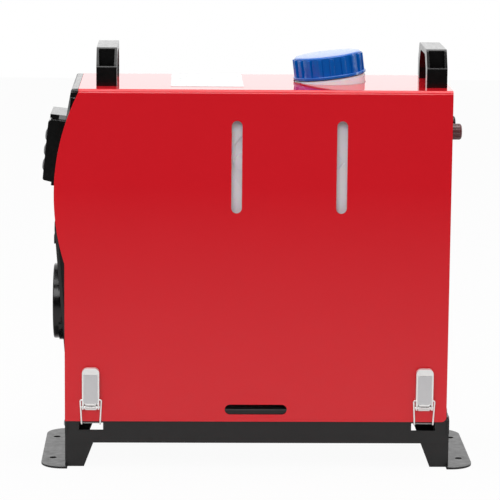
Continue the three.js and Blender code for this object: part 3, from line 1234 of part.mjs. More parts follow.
function burnerHose() {
  const [x, y] = PUMP_PLACE;
  const top = PUMP_BODY[1] + STUB_LENGTH + GAP;
  const side = INNER_HALF - HOSE_RADIUS - 2;
  const entry = [AIR_INTAKE[0] - 24, 20];
  const under = (FLOOR + SHELL_BOTTOM) / 2;
  return hose([
    [x, y, top], [x, y, top + 6], [x, y + 12, top + 18], [x, side - 10, top + 12], [x, side, top - 8],
    [x, side, SHELF_TOP + 20], [x, side, SHELF_TOP - 40], [x + 6, side - 2, 120], [x + 20, 50, under + 6],
    [x + 40, 34, under], [-60, 30, under], [0, 26, under], [entry[0] - 8, entry[1] + 2, under],
    [entry[0], entry[1], under + 6], [entry[0], entry[1], SHELL_BOTTOM - GASKET - STAND_STEEL - 3 * GAP],
  ], 40);
}

function powerHarness() {
  const x = (PANEL_OUTER - PANEL_WALL + SHELF_ENDS[1]) / 2;
  const stud = TERMINAL_HEIGHT - NUT_RADIUS - GAP;
  const lead = (side) => {
    const y = side * TERMINAL_SPREAD / 2;
    const points = [
      [x, y, stud], [x, y, stud - 12], [x, y * 0.5, SHELF_TOP + 44], [x, side, SHELF_TOP + 14],
      [x, side, SHELF_TOP - 21], [x - 3, side, SHELF_TOP - 36],
      [(x + SHELL_ENDS[1]) / 2, side, SHELF_TOP - 40], [SHELL_ENDS[1] + 3, side, SHELF_TOP - 40],
    ];
    return hose(points, 16, LEAD_RADIUS);
  };
  return joined(lead(-1), lead(1));
}

// ---------------------------------------------------------------- assembly
add('base_frame', baseFrame(), blackPaint);
add('foot_bracket_left', footBracket(-1), blackPaint);
add('foot_bracket_right', footBracket(1), blackPaint);
add('cover', cover(), redPaint);
add('front_fascia', frontFascia(), blackPlastic);
add('rear_panel', rearPanel(), blackPlastic);
add('intake_grille', intakeGrille(), blackPlastic);
add('inner_frame', innerFrame(), steel);
add('handle_left', handle(HANDLE_PLACES[0]), blackPlastic);
add('handle_right', handle(HANDLE_PLACES[1]), blackPlastic);
add('label_plate', labelPlate(), paleLabel);
add('fuel_tank', fuelTank(), tankPlastic);

const capGroup = new THREE.Group();
capGroup.applyMatrix4(CAP_MATRIX);
heater.add(capGroup);
add('fuel_cap', fuelCap(), bluePlastic, capGroup);
add('cap_liner', capLiner(), rubber, capGroup);

const panelGroup = new THREE.Group();
panelGroup.applyMatrix4(PANEL_MATRIX);
heater.add(panelGroup);
add('controller_body', controllerBody(), blackPlastic, panelGroup);
add('controller_screen', controllerScreen(), screenGlass, panelGroup);
add('button_up', button(1), blackPlastic, panelGroup);
add('button_power', button(0), blackPlastic, panelGroup);
add('button_down', button(-1), blackPlastic, panelGroup);

add('outlet_ring', outletRing(), blackPlastic);
for (const [name, side] of [['positive', -1], ['negative', 1]]) {
  add(`terminal_stud_${name}`, terminalStud(side), brass);
  add(`terminal_knob_${name}`, terminalKnob(side), side < 0 ? maroonPlastic : blackPlastic);
}
latch('front_left', -LATCH_PLACE, false);
latch('front_right', LATCH_PLACE, false);
latch('back_left', -LATCH_PLACE, true);
latch('back_right', LATCH_PLACE, true);

add('heater_stand', heaterStand(), steel);
add('flange_gasket', flangeGasket(), gasketFibre);
add('heater_shell_lower', heaterShell(0, OUTLET_HEIGHT), blackPlastic);
add('heater_shell_upper', heaterShell(OUTLET_HEIGHT + GAP, COVER_TOP), blackPlastic);
add('outlet_duct', outletDuct(), blackPlastic);
add('heat_exchanger', heatExchanger(), castAluminium);
add('combustion_chamber', combustionChamber(), steel);
add('glow_plug', glowPlug(), steel);
add('blower_housing', blowerHousing(), castAluminium);
add('combustion_blower', combustionBlower(), blackPlastic);
add('blower_motor', blowerMotor(), steel);
add('motor_shaft', motorShaft(), steel);
add('fan_wheel', fanWheel(), blackPlastic);
add('control_board', controlBoard(), boardGreen);
add('exhaust_pipe', pipe(EXHAUST, OUTLET_HEIGHT - EXCHANGER_BORE), steel);
add('air_intake_pipe', pipe(AIR_INTAKE, OUTLET_HEIGHT - BLOWER_RADIUS + 4), blackPlastic);

add('fuel_pump', fuelPump(), steel);
add('pump_plunger', pumpPlunger(), steel);
add('pump_bracket', pumpBracket(), rubber);
add('fuel_filter', fuelFilter(), tankPlastic);
add('hose_tank_to_filter', tankHose(), rubber);
add('hose_filter_to_pump', filterHose(), rubber);
add('hose_pump_to_burner', burnerHose(), rubber);
add('power_harness', powerHarness(), rubber);

export default heater;
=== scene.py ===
"""Portable diesel air heater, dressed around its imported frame.

Sizes are millimetres until a mesh is done, and then metres. X runs along the case with the warm-air
outlet at -X, the broad side that the camera sees faces -Y, and Z is up.
"""
import json
import math

import bmesh
import bpy
from mathutils import Matrix, Vector


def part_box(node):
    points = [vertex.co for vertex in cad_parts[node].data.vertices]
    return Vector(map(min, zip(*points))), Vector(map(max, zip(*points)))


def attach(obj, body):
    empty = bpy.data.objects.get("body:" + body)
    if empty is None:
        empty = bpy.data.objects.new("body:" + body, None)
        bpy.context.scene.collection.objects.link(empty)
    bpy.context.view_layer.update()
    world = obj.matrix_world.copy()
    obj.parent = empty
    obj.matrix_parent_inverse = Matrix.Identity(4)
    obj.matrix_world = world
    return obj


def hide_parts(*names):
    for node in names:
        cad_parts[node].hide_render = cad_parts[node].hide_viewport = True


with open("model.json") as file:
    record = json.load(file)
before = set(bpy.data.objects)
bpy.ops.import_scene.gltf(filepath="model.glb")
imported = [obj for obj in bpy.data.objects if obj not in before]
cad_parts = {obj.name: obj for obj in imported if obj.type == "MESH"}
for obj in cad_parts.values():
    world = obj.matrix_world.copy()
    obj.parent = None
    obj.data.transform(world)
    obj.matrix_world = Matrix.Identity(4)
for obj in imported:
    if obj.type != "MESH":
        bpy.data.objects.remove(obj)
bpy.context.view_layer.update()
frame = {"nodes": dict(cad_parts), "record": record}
MM = 0.001


def box_mm(node):
    """The lowest and highest corner of a CAD node, in millimetres."""
    low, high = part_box(node)
    return [v / MM for v in low], [v / MM for v in high]


# ------------------------------------------------------------------ sizes that the frame doesn't give
SHEET = 1.2              # cover steel
BEND = 4.5               # outer radius of the cover's two long folds
BOW_RADIUS = 225         # bowed edge of the cover at the outlet end
BOW_HEIGHT = 270         # height at which the bow reaches furthest
BOW_TOP_X = -175.3       # upper end of the bow, just under the cover's top
BOW_FOOT_X = -189.4      # lower end of the bow, from where the edge drops straight
COVER_CORNER = 5         # lower corner of the cover at the intake end
WINDOW_X = (-22.3, 79.7)
WINDOW_Z = (254, 344.5)
WINDOW_WIDTH = 10.3
VENT_SIZE = (61, 10)
VENT_PLACE = (-1.8, 58.5)
CAP_PLACE = (71, 11, 379.9)
CAP_HEIGHT = 22.4
CAP_TILT = math.radians(-7.2)
OUTLET_Z = 153.1         # axis of the warm-air outlet and of the intake
FRONT_X, FRONT_TOP = -188.3, 341    # upper end of the front's leaning part
NOSE_Z = 238             # foremost line of the front, at the lower end of that part
PANEL_TILT = math.radians(5.9)      # lean of that part, which carries the control panel
LOWER_TILT = math.radians(4.4)
PANEL_CENTRE = 309
PANEL_HALF = 30.5        # half the height of the control panel
PANEL_DEPTH = 17.2
SCREEN_Y = 9
KEY_Y, KEY_PITCH = -33, 14.9
FRAME_END = 187          # inner face of the foot brackets' walls; above them the base channel ends there
WALL_FACE = 189.4        # outer face of those walls
LATCH_X = 163.8


# ------------------------------------------------------------------ colour and shader helpers
def tint(code):
    """An sRGB hex colour as linear red, green, blue and alpha."""
    parts = [int(code[i:i + 2], 16) / 255 for i in (1, 3, 5)]
    linear = [p / 12.92 if p <= 0.04045 else ((p + 0.055) / 1.055) ** 2.4 for p in parts]
    return (*linear, 1)


def add(tree, kind, inputs=None, **settings):
    """Adds one node with its settings; an input is given a value, or the socket that feeds it."""
    node = tree.nodes.new(kind)
    for key, value in settings.items():
        setattr(node, key, value)
    for key, value in (inputs or {}).items():
        if isinstance(value, bpy.types.NodeSocket):
            tree.links.new(value, node.inputs[key])
        else:
            node.inputs[key].default_value = value
    return node


def finish_material(name, **shader):
    """A Principled material; returns it with its tree, its shader node and the object coordinates."""
    material = bpy.data.materials.new(name)
    material.use_nodes = True
    tree = material.node_tree
    tree.nodes.clear()
    surface = add(tree, "ShaderNodeBsdfPrincipled", {k.replace("_", " "): v for k, v in shader.items()})
    add(tree, "ShaderNodeOutputMaterial", {"Surface": surface.outputs[0]})
    where = add(tree, "ShaderNodeTexCoord").outputs["Object"]
    return material, tree, surface, where


def noise(tree, where, size, detail=2.0, roughness=0.5):
    """Noise whose blotches are about size millimetres across."""
    settings = {"Vector": where, "Scale": 1 / (size * MM), "Detail": detail, "Roughness": roughness}
    return add(tree, "ShaderNodeTexNoise", settings).outputs["Fac"]


def spread(tree, fac, low, high):
    """Turns a 0 to 1 pattern into values from low to high."""
    settings = {"Value": fac, "From Min": 0.25, "From Max": 0.75, "To Min": low, "To Max": high}
    return add(tree, "ShaderNodeMapRange", settings).outputs["Result"]


def shades(tree, fac, first, second):
    """Mixes two hex colours by a pattern."""
    mix = add(tree, "ShaderNodeMix", {"Factor": fac}, data_type="RGBA")
    mix.inputs[6].default_value = tint(first)
    mix.inputs[7].default_value = tint(second)
    return mix.outputs[2]


def relief(tree, surface, height, depth, strength):
    """Bump of a depth in millimetres from a 0 to 1 pattern."""
    settings = {"Height": height, "Distance": depth * MM, "Strength": strength}
    bump = add(tree, "ShaderNodeBump", settings)
    tree.links.new(bump.outputs[0], surface.inputs["Normal"])


# ------------------------------------------------------------------ materials
def red_powder_coat():
    # gloss powder coat, baked: even saturated red under a clear skin that mirrors what stands on it
    mat, tree, surface, where = finish_material(
        "red_powder_coat", IOR=1.5, Specular_IOR_Level=0.0, Coat_Weight=1.0, Coat_Roughness=0.03,
        Coat_IOR=1.5)
    tree.links.new(shades(tree, noise(tree, where, 60), "#d21924", "#d41b26"), surface.inputs["Base Color"])
    tree.links.new(spread(tree, noise(tree, where, 12), 0.34, 0.38), surface.inputs["Roughness"])
    relief(tree, surface, noise(tree, where, 2.2, 1.0), 0.001, 0.5)
    return mat


def black_powder_coat():
    # satin black powder coat on steel: fine pebble about 0.9 mm across
    mat, tree, surface, where = finish_material("satin_black_powder_coat", IOR=1.5)
    tree.links.new(shades(tree, noise(tree, where, 30), "#161616", "#1a1a1a"), surface.inputs["Base Color"])
    tree.links.new(spread(tree, noise(tree, where, 6), 0.29, 0.41), surface.inputs["Roughness"])
    relief(tree, surface, noise(tree, where, 0.9, 1.0), 0.02, 0.5)
    return mat


def moulded(name, first, second, rough, grain=0.5, depth=0.015, **more):
    # moulded plastic, rubber and the like: even colour with a fine texture
    mat, tree, surface, where = finish_material(name, IOR=1.5, **more)
    tree.links.new(shades(tree, noise(tree, where, 18), first, second), surface.inputs["Base Color"])
    marks = noise(tree, where, 4)
    tree.links.new(spread(tree, marks, rough - 0.04, rough + 0.05), surface.inputs["Roughness"])
    relief(tree, surface, noise(tree, where, grain, 1.0), depth, 0.5)
    return mat


def metal(name, first, second, rough, grain, depth=0.01, metallic=1.0):
    # slight cloudiness in the colour, and the marks of how it was made in the roughness; the nickel
    # finishes are half metallic, so that they stay pale where they mirror the dark end of the room
    mat, tree, surface, where = finish_material(name, Metallic=metallic)
    tree.links.new(shades(tree, noise(tree, where, 14), first, second), surface.inputs["Base Color"])
    marks = noise(tree, where, grain, 3.0)
    tree.links.new(spread(tree, marks, rough - 0.05, rough + 0.07), surface.inputs["Roughness"])
    relief(tree, surface, noise(tree, where, grain, 2.0), depth, 0.4)
    return mat


FINISH = {
    "red_cover": red_powder_coat(),
    "black_paint": black_powder_coat(),
    "black_plastic": moulded("black_abs", "#070707", "#0a0a0a", 0.2),
    "blue_cap": moulded("blue_polypropylene", "#0056ac", "#0060bb", 0.16, 1.2, 0.003),
    "tank_plastic": moulded("natural_polyethylene", "#eeeef4", "#f3f3f8", 0.45, 2.5, 0.03,
                            Subsurface_Weight=0.25, Subsurface_Scale=0.004),
    "nickel": metal("bright_nickel", "#fafaf8", "#fdfdfc", 0.2, 3.0, 0.006, 0.5),
    # a rougher nickel with its colour painted darker: painted shade for the recessed panels of the latch
    # levers
    "nickel_with_painted_shade": metal("nickel_with_painted_shade", "#d6d6d8", "#dbdbdc", 0.42, 1.5, 0.006, 0.5),
    "plated_steel": metal("zinc_plated_steel", "#a8abb0", "#b9bcc0", 0.36, 2.0),
    "cast_aluminium": metal("cast_aluminium", "#a9abad", "#b9bbbc", 0.55, 1.2, 0.06),
    "brass": metal("turned_brass", "#c39a45", "#d0a851", 0.3, 1.0),
    "rubber": moulded("black_rubber", "#161616", "#1c1c1c", 0.7, 0.8, 0.02),
    "screen": moulded("smoked_window", "#07090c", "#0a0d10", 0.08, 6.0, 0.002),
    "label": moulded("bare_film", "#c6c8c8", "#cccdcd", 0.3, 0.6, 0.004),
    "keys": moulded("grey_silicone_rubber", "#5e5e5e", "#666666", 0.5, 0.6, 0.01),
    "maroon_plastic": moulded("maroon_insulator", "#5f2022", "#6a2629", 0.38,
                              Coat_Weight=0.5, Coat_Roughness=0.15),
    "circuit_board": moulded("green_laminate", "#1a6136", "#22703f", 0.45, 3.0, 0.02),
    "gasket": moulded("pressed_fibre", "#6a665e", "#787369", 0.85, 0.7, 0.08),
}
SLOT_OF = {row["node"]: row["material_slot"] for row in frame["record"]["subparts"]}


# ------------------------------------------------------------------ outlines and meshes
def arc(centre, radius, start, end, steps):
    """Points on an arc, its angles in degrees."""
    angles = [math.radians(start + (end - start) * i / steps) for i in range(steps + 1)]
    return [(centre[0] + radius * math.cos(a), centre[1] + radius * math.sin(a)) for a in angles]


def circle(centre, radius, count=60):
    """Points all round a circle."""
    return arc(centre, radius, 0, 360 - 360 / count, count - 1)


def rounded(width, height, radius, centre=(0, 0), steps=8):
    """A rectangle with round corners, anticlockwise."""
    u, v = width / 2 - radius, height / 2 - radius
    points = []
    for side_u, side_v, start in ((1, 1, 0), (-1, 1, 90), (-1, -1, 180), (1, -1, 270)):
        corner = (centre[0] + side_u * u, centre[1] + side_v * v)
        points += arc(corner, radius, start, start + 90, steps)
    return points


def arched(half, bottom, top, radius, steps=8):
    """An upright rectangle with its upper corners rounded."""
    right = arc((half - radius, top - radius), radius, 0, 90, steps)
    left = arc((radius - half, top - radius), radius, 90, 180, steps)
    return [(-half, bottom), (half, bottom), *right, *left]


AXES = {
    "x": lambda u, v, w: (w, u, v),
    "y": lambda u, v, w: (u, w, v),
    "z": lambda u, v, w: (u, v, w),
}


def mesh_object(name, points, faces, matrix=None):
    """A piece from its points and faces, with its faces turned outwards."""
    mesh = bpy.data.meshes.new(name)
    mesh.from_pydata([tuple(p) for p in points], [], faces)
    work = bmesh.new()
    work.from_mesh(mesh)
    bmesh.ops.remove_doubles(work, verts=work.verts, dist=1e-4)
    bmesh.ops.recalc_face_normals(work, faces=work.faces)
    if matrix:
        work.transform(matrix)
    work.to_mesh(mesh)
    work.free()
    piece = bpy.data.objects.new(name, mesh)
    bpy.context.scene.collection.objects.link(piece)
    return piece


def prism(name, outline, axis, span, matrix=None):
    """An outline drawn square to an axis, carried along it."""
    count = len(outline)
    points = [AXES[axis](u, v, w) for w in span for u, v in outline]
    sides = [(i, (i + 1) % count, count + (i + 1) % count, count + i) for i in range(count)]
    return mesh_object(name, points, [tuple(range(count)), tuple(range(count, 2 * count)), *sides], matrix)


def block(name, x, y, z, matrix=None):
    return prism(name, [(x[0], y[0]), (x[1], y[0]), (x[1], y[1]), (x[0], y[1])], "z", z, matrix)


def lathe(name, profile, axis, centre=(0, 0), steps=64, matrix=None):
    """A closed profile of (distance along the axis, radius) turned once round it."""
    points, faces = [], []
    for i in range(steps):
        angle = 2 * math.pi * i / steps
        for along, radius in profile:
            u, v = centre[0] + radius * math.cos(angle), centre[1] + radius * math.sin(angle)
            points.append(AXES[axis](u, v, along))
    count = len(profile)
    for i in range(steps):
        for k in range(count):
            a, b = i * count + k, i * count + (k + 1) % count
            c, d = ((i + 1) % steps) * count + (k + 1) % count, ((i + 1) % steps) * count + k
            faces.append((a, b, c, d))
    return mesh_object(name, points, [f for f in faces if len(set(f)) > 2], matrix)


def tube(name, path, radius, sides=12, matrix=None):
    """A round wire through a list of points, closed at its ends."""
    places = [Vector(p) for p in path]
    points, faces = [], []
    across = None
    for i, here in enumerate(places):
        along = (places[min(i + 1, len(places) - 1)] - places[max(i - 1, 0)]).normalized()
        if across is None:
            across = along.orthogonal().normalized()
        across = (across - along * across.dot(along)).normalized()
        up = along.cross(across)
        for k in range(sides):
            angle = 2 * math.pi * k / sides
            points.append(here + across * radius * math.cos(angle) + up * radius * math.sin(angle))
    for i in range(len(places) - 1):
        for k in range(sides):
            a, b = i * sides + k, i * sides + (k + 1) % sides
            faces.append((a, b, b + sides, a + sides))
    last = (len(places) - 1) * sides
    faces += [tuple(range(sides)), tuple(range(last, last + sides))]
    return mesh_object(name, points, faces, matrix)


def turning(before, here, after, reach, steps):
    """Points that round one corner of a path, from reach before it to reach after it."""
    before, here, after = Vector(before), Vector(here), Vector(after)
    start = here + (before - here).normalized() * reach
    end = here + (after - here).normalized() * reach
    times = [k / steps for k in range(steps + 1)]
    return [start * (1 - t) ** 2 + here * 2 * t * (1 - t) + end * t ** 2 for t in times]


def bent(corners, radius, steps=6):
    """A path with each corner rounded."""
    path = [Vector(corners[0])]
    for before, here, after in zip(corners, corners[1:], corners[2:]):
        path += turning(before, here, after, radius, steps)
    path.append(Vector(corners[-1]))
    return path


def applied(piece):
    """Turns a piece's modifiers into its plain mesh."""
    graph = bpy.context.evaluated_depsgraph_get()
    mesh = bpy.data.meshes.new_from_object(piece.evaluated_get(graph))
    old = piece.data
    piece.modifiers.clear()
    piece.data = mesh
    bpy.data.meshes.remove(old)


def combine(piece, tools, operation):
    """Joins tools to a piece, cuts them from it or keeps what they share, and deletes the tools."""
    for tool in tools:
        modifier = piece.modifiers.new(operation, "BOOLEAN")
        modifier.operation = operation
        modifier.solver = "EXACT"
        modifier.object = tool
    bpy.context.view_layer.update()
    applied(piece)
    for tool in tools:
        mesh = tool.data
        bpy.data.objects.remove(tool)
        bpy.data.meshes.remove(mesh)
    return piece


def cut(piece, *tools):
    return combine(piece, tools, "DIFFERENCE")


def join(piece, *tools):
    return combine(piece, tools, "UNION")


def keep(piece, *tools):
    return combine(piece, tools, "INTERSECT")


def soften(piece, width, segments=2, angle=35):
    """Rounds the edges of a piece and shades it."""
    bevel = piece.modifiers.new("edges", "BEVEL")
    bevel.width = width
    bevel.segments = segments
    bevel.limit_method = "ANGLE"
    bevel.angle_limit = math.radians(angle)
    bevel.miter_outer = "MITER_ARC"
    applied(piece)
    smooth(piece)
    return piece


BROAD = 2.5    # area over perimeter, in millimetres, from which a face counts as broad


def smooth(piece, angle=32):
    """Smooth shading, but flat on broad faces, and sharp where faces meet at more than an angle."""
    work = bmesh.new()
    work.from_mesh(piece.data)
    for face in work.faces:
        face.smooth = face.calc_area() < BROAD * face.calc_perimeter()
    for edge in work.edges:
        even = all(face.smooth for face in edge.link_faces)
        edge.smooth = even and len(edge.link_faces) == 2 and edge.calc_face_angle(0) < math.radians(angle)
    work.to_mesh(piece.data)
    work.free()
    weighted = piece.modifiers.new("normals", "WEIGHTED_NORMAL")
    weighted.keep_sharp = True
    applied(piece)


def dress(piece, slot, body="root", replaces=(), finish=None):
    """Scales a finished piece to metres, gives it its finish and lets it ride on its body."""
    piece.data.transform(Matrix.Scale(MM, 4))
    piece.data.materials.clear()
    piece.data.materials.append(FINISH[finish or slot])
    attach(piece, body)
    if replaces:
        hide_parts(*replaces)


# ------------------------------------------------------------------ what repeats
def copy_tree():
    """Nodes that set a copy of the pattern on every point.

    The copy's X axis lies along the aim or, with Radial at 1, points away from the Z axis.
    """
    tree = bpy.data.node_groups.new("copies_on_points", "GeometryNodeTree")
    sockets = (("Geometry", "NodeSocketGeometry"), ("Pattern", "NodeSocketObject"),
               ("Aim", "NodeSocketVector"), ("Radial", "NodeSocketFloat"), ("Finish", "NodeSocketMaterial"))
    for label, kind in sockets:
        tree.interface.new_socket(name=label, in_out="INPUT", socket_type=kind)
    tree.interface.new_socket(name="Geometry", in_out="OUTPUT", socket_type="NodeSocketGeometry")
    given = add(tree, "NodeGroupInput").outputs
    place = add(tree, "GeometryNodeInputPosition").outputs[0]
    aim = add(tree, "ShaderNodeVectorMath", {0: place, 1: given["Radial"], 2: given["Aim"]},
              operation="MULTIPLY_ADD").outputs[0]
    turn = add(tree, "FunctionNodeAlignRotationToVector", {"Vector": aim}, axis="X").outputs[0]
    pattern = add(tree, "GeometryNodeObjectInfo", {"Object": given["Pattern"]}).outputs["Geometry"]
    copies = add(tree, "GeometryNodeInstanceOnPoints",
                 {"Points": given["Geometry"], "Instance": pattern, "Rotation": turn}).outputs[0]
    solid = add(tree, "GeometryNodeRealizeInstances", {0: copies}).outputs[0]
    finish = {"Geometry": solid, "Material": given["Finish"]}
    painted = add(tree, "GeometryNodeSetMaterial", finish).outputs[0]
    add(tree, "NodeGroupOutput", {"Geometry": painted})
    return tree


COPY_TREE = copy_tree()


def copied(name, pattern, places, finish, aim=(0, 0, 0), radial=0.0):
    """The pattern on each of the places, as one plain mesh."""
    piece = mesh_object(name, places, [])
    modifier = piece.modifiers.new("copies", "NODES")
    modifier.node_group = COPY_TREE
    values = {"Pattern": pattern, "Aim": aim, "Radial": radial, "Finish": FINISH[finish]}
    for socket in COPY_TREE.interface.items_tree:
        if socket.in_out == "INPUT" and socket.name in values:
            modifier[socket.identifier] = values[socket.name]
    bpy.context.view_layer.update()
    applied(piece)
    smooth(piece)
    mesh = pattern.data
    bpy.data.objects.remove(pattern)
    bpy.data.meshes.remove(mesh)
    return piece


def pan_head(radius, height):
    """A screw's pan head along X with its cross recess."""
    profile = [(-0.4, 0.01), (-0.4, radius), (height * 0.35, radius), (height * 0.75, radius * 0.86),
               (height, radius * 0.55), (height, 0.01)]
    head = lathe("pan_head", profile, "x", steps=24)
    reach, half = radius * 0.6, radius * 0.13
    arms = [block("arm", (height * 0.45, height + 1), span_y, span_z)
            for span_y, span_z in (((-reach, reach), (-half, half)), ((-half, half), (-reach, reach)))]
    return cut(head, *arms)


def screws(name, places, aim, radius=3.0):
    heads = copied(name, pan_head(radius, 1.8), places, "plated_steel", aim)
    dress(heads, "plated_steel")


# ------------------------------------------------------------------ case
def cover():
    (x0, y0, z0), (x1, y1, z1) = box_mm("cover")
    through = (y0 - 5, y1 + 5)
    outer = arched(y1, z0 - 1, z1, BEND, 20)
    inner = arched(y1 - SHEET, z0 - 2, z1 - SHEET, BEND - SHEET, 20)
    sheet = prism("cover_sheet", outer, "x", (x0 - 1, x1 + 1))
    cut(sheet, prism("hollow", inner, "x", (x0 - 3, x1 + 3)))
    centre = x0 + BOW_RADIUS
    top = 180 - math.degrees(math.acos((centre - BOW_TOP_X) / BOW_RADIUS))
    bottom = 180 + math.degrees(math.acos((centre - BOW_FOOT_X) / BOW_RADIUS))
    bow = arc((centre, BOW_HEIGHT), BOW_RADIUS, top, bottom, 60)
    corner = arc((x1 - COVER_CORNER, z0 + COVER_CORNER), COVER_CORNER, -90, 0, 8)
    side = [(x1, z1 + 2), (BOW_TOP_X, z1 + 2), *bow, (BOW_FOOT_X, z0), *corner]
    keep(sheet, prism("side", side, "y", through))
    height, middle = WINDOW_Z[1] - WINDOW_Z[0], sum(WINDOW_Z) / 2
    slots = [rounded(WINDOW_WIDTH, height, WINDOW_WIDTH / 2 - 0.01, (x, middle), 10) for x in WINDOW_X]
    slots.append(rounded(*VENT_SIZE, VENT_SIZE[1] / 2 - 0.01, VENT_PLACE, 10))
    openings = [prism("slot", slot, "y", through) for slot in slots]
    openings.append(prism("hole", circle(CAP_PLACE[:2], 36), "z", (z1 - 5, z1 + 5)))
    cut(sheet, *openings)
    dress(soften(sheet, 0.5, 3), "red_cover", replaces=["cover"])


def base_frame():
    (x0, y0, z0), (x1, y1, z1) = box_mm("base_frame")
    steel, wall_top, through = 1.5, 51, (y0 - 5, y1 + 5)
    channel = prism("base_channel", arched(y1, z0, z1, 2.4, 6), "x", (x0, x1))
    cut(channel, prism("hollow", arched(y1 - steel, z0 - 2, z1 - steel, 1, 4), "x", (x0 - 2, x1 + 2)))
    half, low, high = 11.9, 37.3, 44.6
    windows = [block("window", (x - half, x + half), through, (low, high)) for x in (-LATCH_X, LATCH_X)]
    pipes = []
    for pipe in ("exhaust_pipe", "air_intake_pipe"):
        (px0, _, _), (px1, _, _) = box_mm(pipe)
        place, radius = ((px0 + px1) / 2, 0), (px1 - px0) / 2 + 0.6
        pipes.append(prism("hole", circle(place, radius), "z", (z1 - 5, z1 + 5)))
    past_ends = [block("past", span, through, (wall_top, z1 + 5))
                 for span in ((FRAME_END, 230), (-230, -FRAME_END))]
    cut(channel, *windows, *pipes, *past_ends)
    flaps = [block("flap", span, (1 - y1, y1 - 1), (z0 + 2, z1 - 0.8))
             for span in ((FRAME_END - steel, FRAME_END), (-FRAME_END, steel - FRAME_END))]
    join(channel, *flaps)
    dress(soften(channel, 0.4, 2), "black_paint", replaces=["base_frame"])


def foot_bracket(node, end):
    """An end wall on tapering legs, with a flange that has two screw holes; end is 1 or -1."""
    (x0, _, _), (x1, half, z1) = box_mm(node)
    turn = Matrix.Identity(4) if end > 0 else Matrix.Rotation(math.pi, 4, "Z")
    outer, leg_top, steel = max(abs(x0), abs(x1)), 34, 2
    wall_half, leg_half, leg_inner = 72.4, 69.2, 67.7
    wall = prism("foot_bracket", arched(wall_half, leg_top, z1, 5, 8), "x", (FRAME_END, WALL_FACE), turn)
    lower = block("lower", (FRAME_END, WALL_FACE), (-leg_half, leg_half), (0, leg_top + 2), turn)
    leg = [(188.5, 0), (170.9, 0), (157.8, leg_top), (188.5, leg_top)]
    legs = [prism("leg", leg, "y", span, turn)
            for span in ((-leg_half, -leg_inner), (leg_inner, leg_half))]
    corner = 22
    plate = [(FRAME_END, -half), *arc((outer - corner, corner - half), corner, -90, 0, 16),
             *arc((outer - corner, half - corner), corner, 0, 90, 16), (FRAME_END, half)]
    flange = prism("flange", plate, "z", (0, steel), turn)
    holes = [prism("hole", circle((202.5, y), 3.5, 24), "z", (-2, 4), turn) for y in (-42.5, 42.5)]
    cut(join(wall, lower, *legs, flange), *holes)
    dress(soften(wall, 0.45, 2), "black_paint", replaces=[node])


def panel_line(z):
    """X of the front's leaning part at a height, from its upper end down to the nose."""
    return FRONT_X - (FRONT_TOP - z) * math.tan(PANEL_TILT)


def lower_line(z):
    """X of the front below the nose, at a height."""
    return panel_line(NOSE_Z) + (NOSE_Z - z) * math.tan(LOWER_TILT)


PANEL = Matrix.Translation((panel_line(PANEL_CENTRE), 0, PANEL_CENTRE)) @ Matrix.Rotation(PANEL_TILT, 4, "Y")


def fascia():
    (_, y0, z0), (_, y1, z1) = box_mm("front_fascia")
    nose, lip, groove, inside_x = panel_line(NOSE_Z), 2.6, 366.5, -160
    bends = ((1.25, 12), (0.2, 6), (0, 0), (0.25, -6), (0.95, -12))
    curve = [(nose + inset, NOSE_Z + rise) for inset, rise in bends]
    edge = arc((lip - 182.7, z1 - lip), lip, 90, 180, 6)
    side = [(-170, z0), (-170, z1), *edge, (FRONT_X, FRONT_TOP), *curve, (lower_line(z0), z0)]
    body = prism("fascia_shell", side, "y", (y0, y1))
    under = arched(y1, z0 - 10, 372.8, 3.3, 8)
    beside = arched(y1, z0 - 10, z1, BEND, 8)
    shape = join(prism("envelope", under, "x", (-176.6, -150)), prism("beside", beside, "x", (-230, -175.6)))
    keep(body, shape)

    boss = prism("boss", circle((0, OUTLET_Z), 39.1, 72), "x", (-197, -189))
    badge_z, proud = 225.5, 1.9
    badge = prism("badge", rounded(120, 9, 2, (0, badge_z)), "x", (lower_line(badge_z) - proud, -190))
    floor_z, roof_z, hood_half, spread_half = PANEL_HALF + 0.3, PANEL_HALF + 3.9, 30, 34.7
    hood_side = [(-16.3, floor_z), (1, floor_z), (1, roof_z), (-16.3, roof_z)]
    hood = prism("hood", hood_side, "y", (-hood_half, hood_half), PANEL)
    slopes = [(-spread_half, floor_z), (spread_half, floor_z), (hood_half, roof_z), (-hood_half, roof_z)]
    join(body, boss, badge, hood, prism("gusset", slopes, "x", (-7.5, 1), PANEL))

    rim, depth, wall = 3.2, 2.6, 2.5
    pit = [(inside_x, z0 + 6), (inside_x, groove - 5), (panel_line(groove) + rim, groove - 1),
           (FRONT_X + rim, FRONT_TOP), (nose + rim, NOSE_Z), (lower_line(z0 + 6) + rim, z0 + 6)]
    line = [(inside_x, groove - 0.4), (inside_x, groove + 0.4), (-200, groove + 0.4), (-200, groove - 0.4)]
    sides = [prism("pit", pit, "y", span) for span in ((y0 - 1, y0 + depth), (y1 - depth, y1 + 1))]
    sides += [prism("line", line, "y", span) for span in ((y0 - 1, y0 + 0.5), (y1 - 0.5, y1 + 1))]
    inner = [(inside_x, z0 + wall), (inside_x, z1 - 2 * wall), (-179.7, z1 - 2 * wall),
             (FRONT_X + wall, FRONT_TOP), (nose + wall, NOSE_Z), (lower_line(z0 + wall) + wall, z0 + wall)]
    hollow = prism("hollow", inner, "y", (y0 + depth + wall, y1 - depth - wall))
    bore = prism("bore", circle((0, OUTLET_Z), 37.8, 72), "x", (-210, inside_x))
    cut(body, hollow, bore, *sides)
    dress(soften(body, 0.8, 3), "black_plastic", replaces=["front_fascia"])


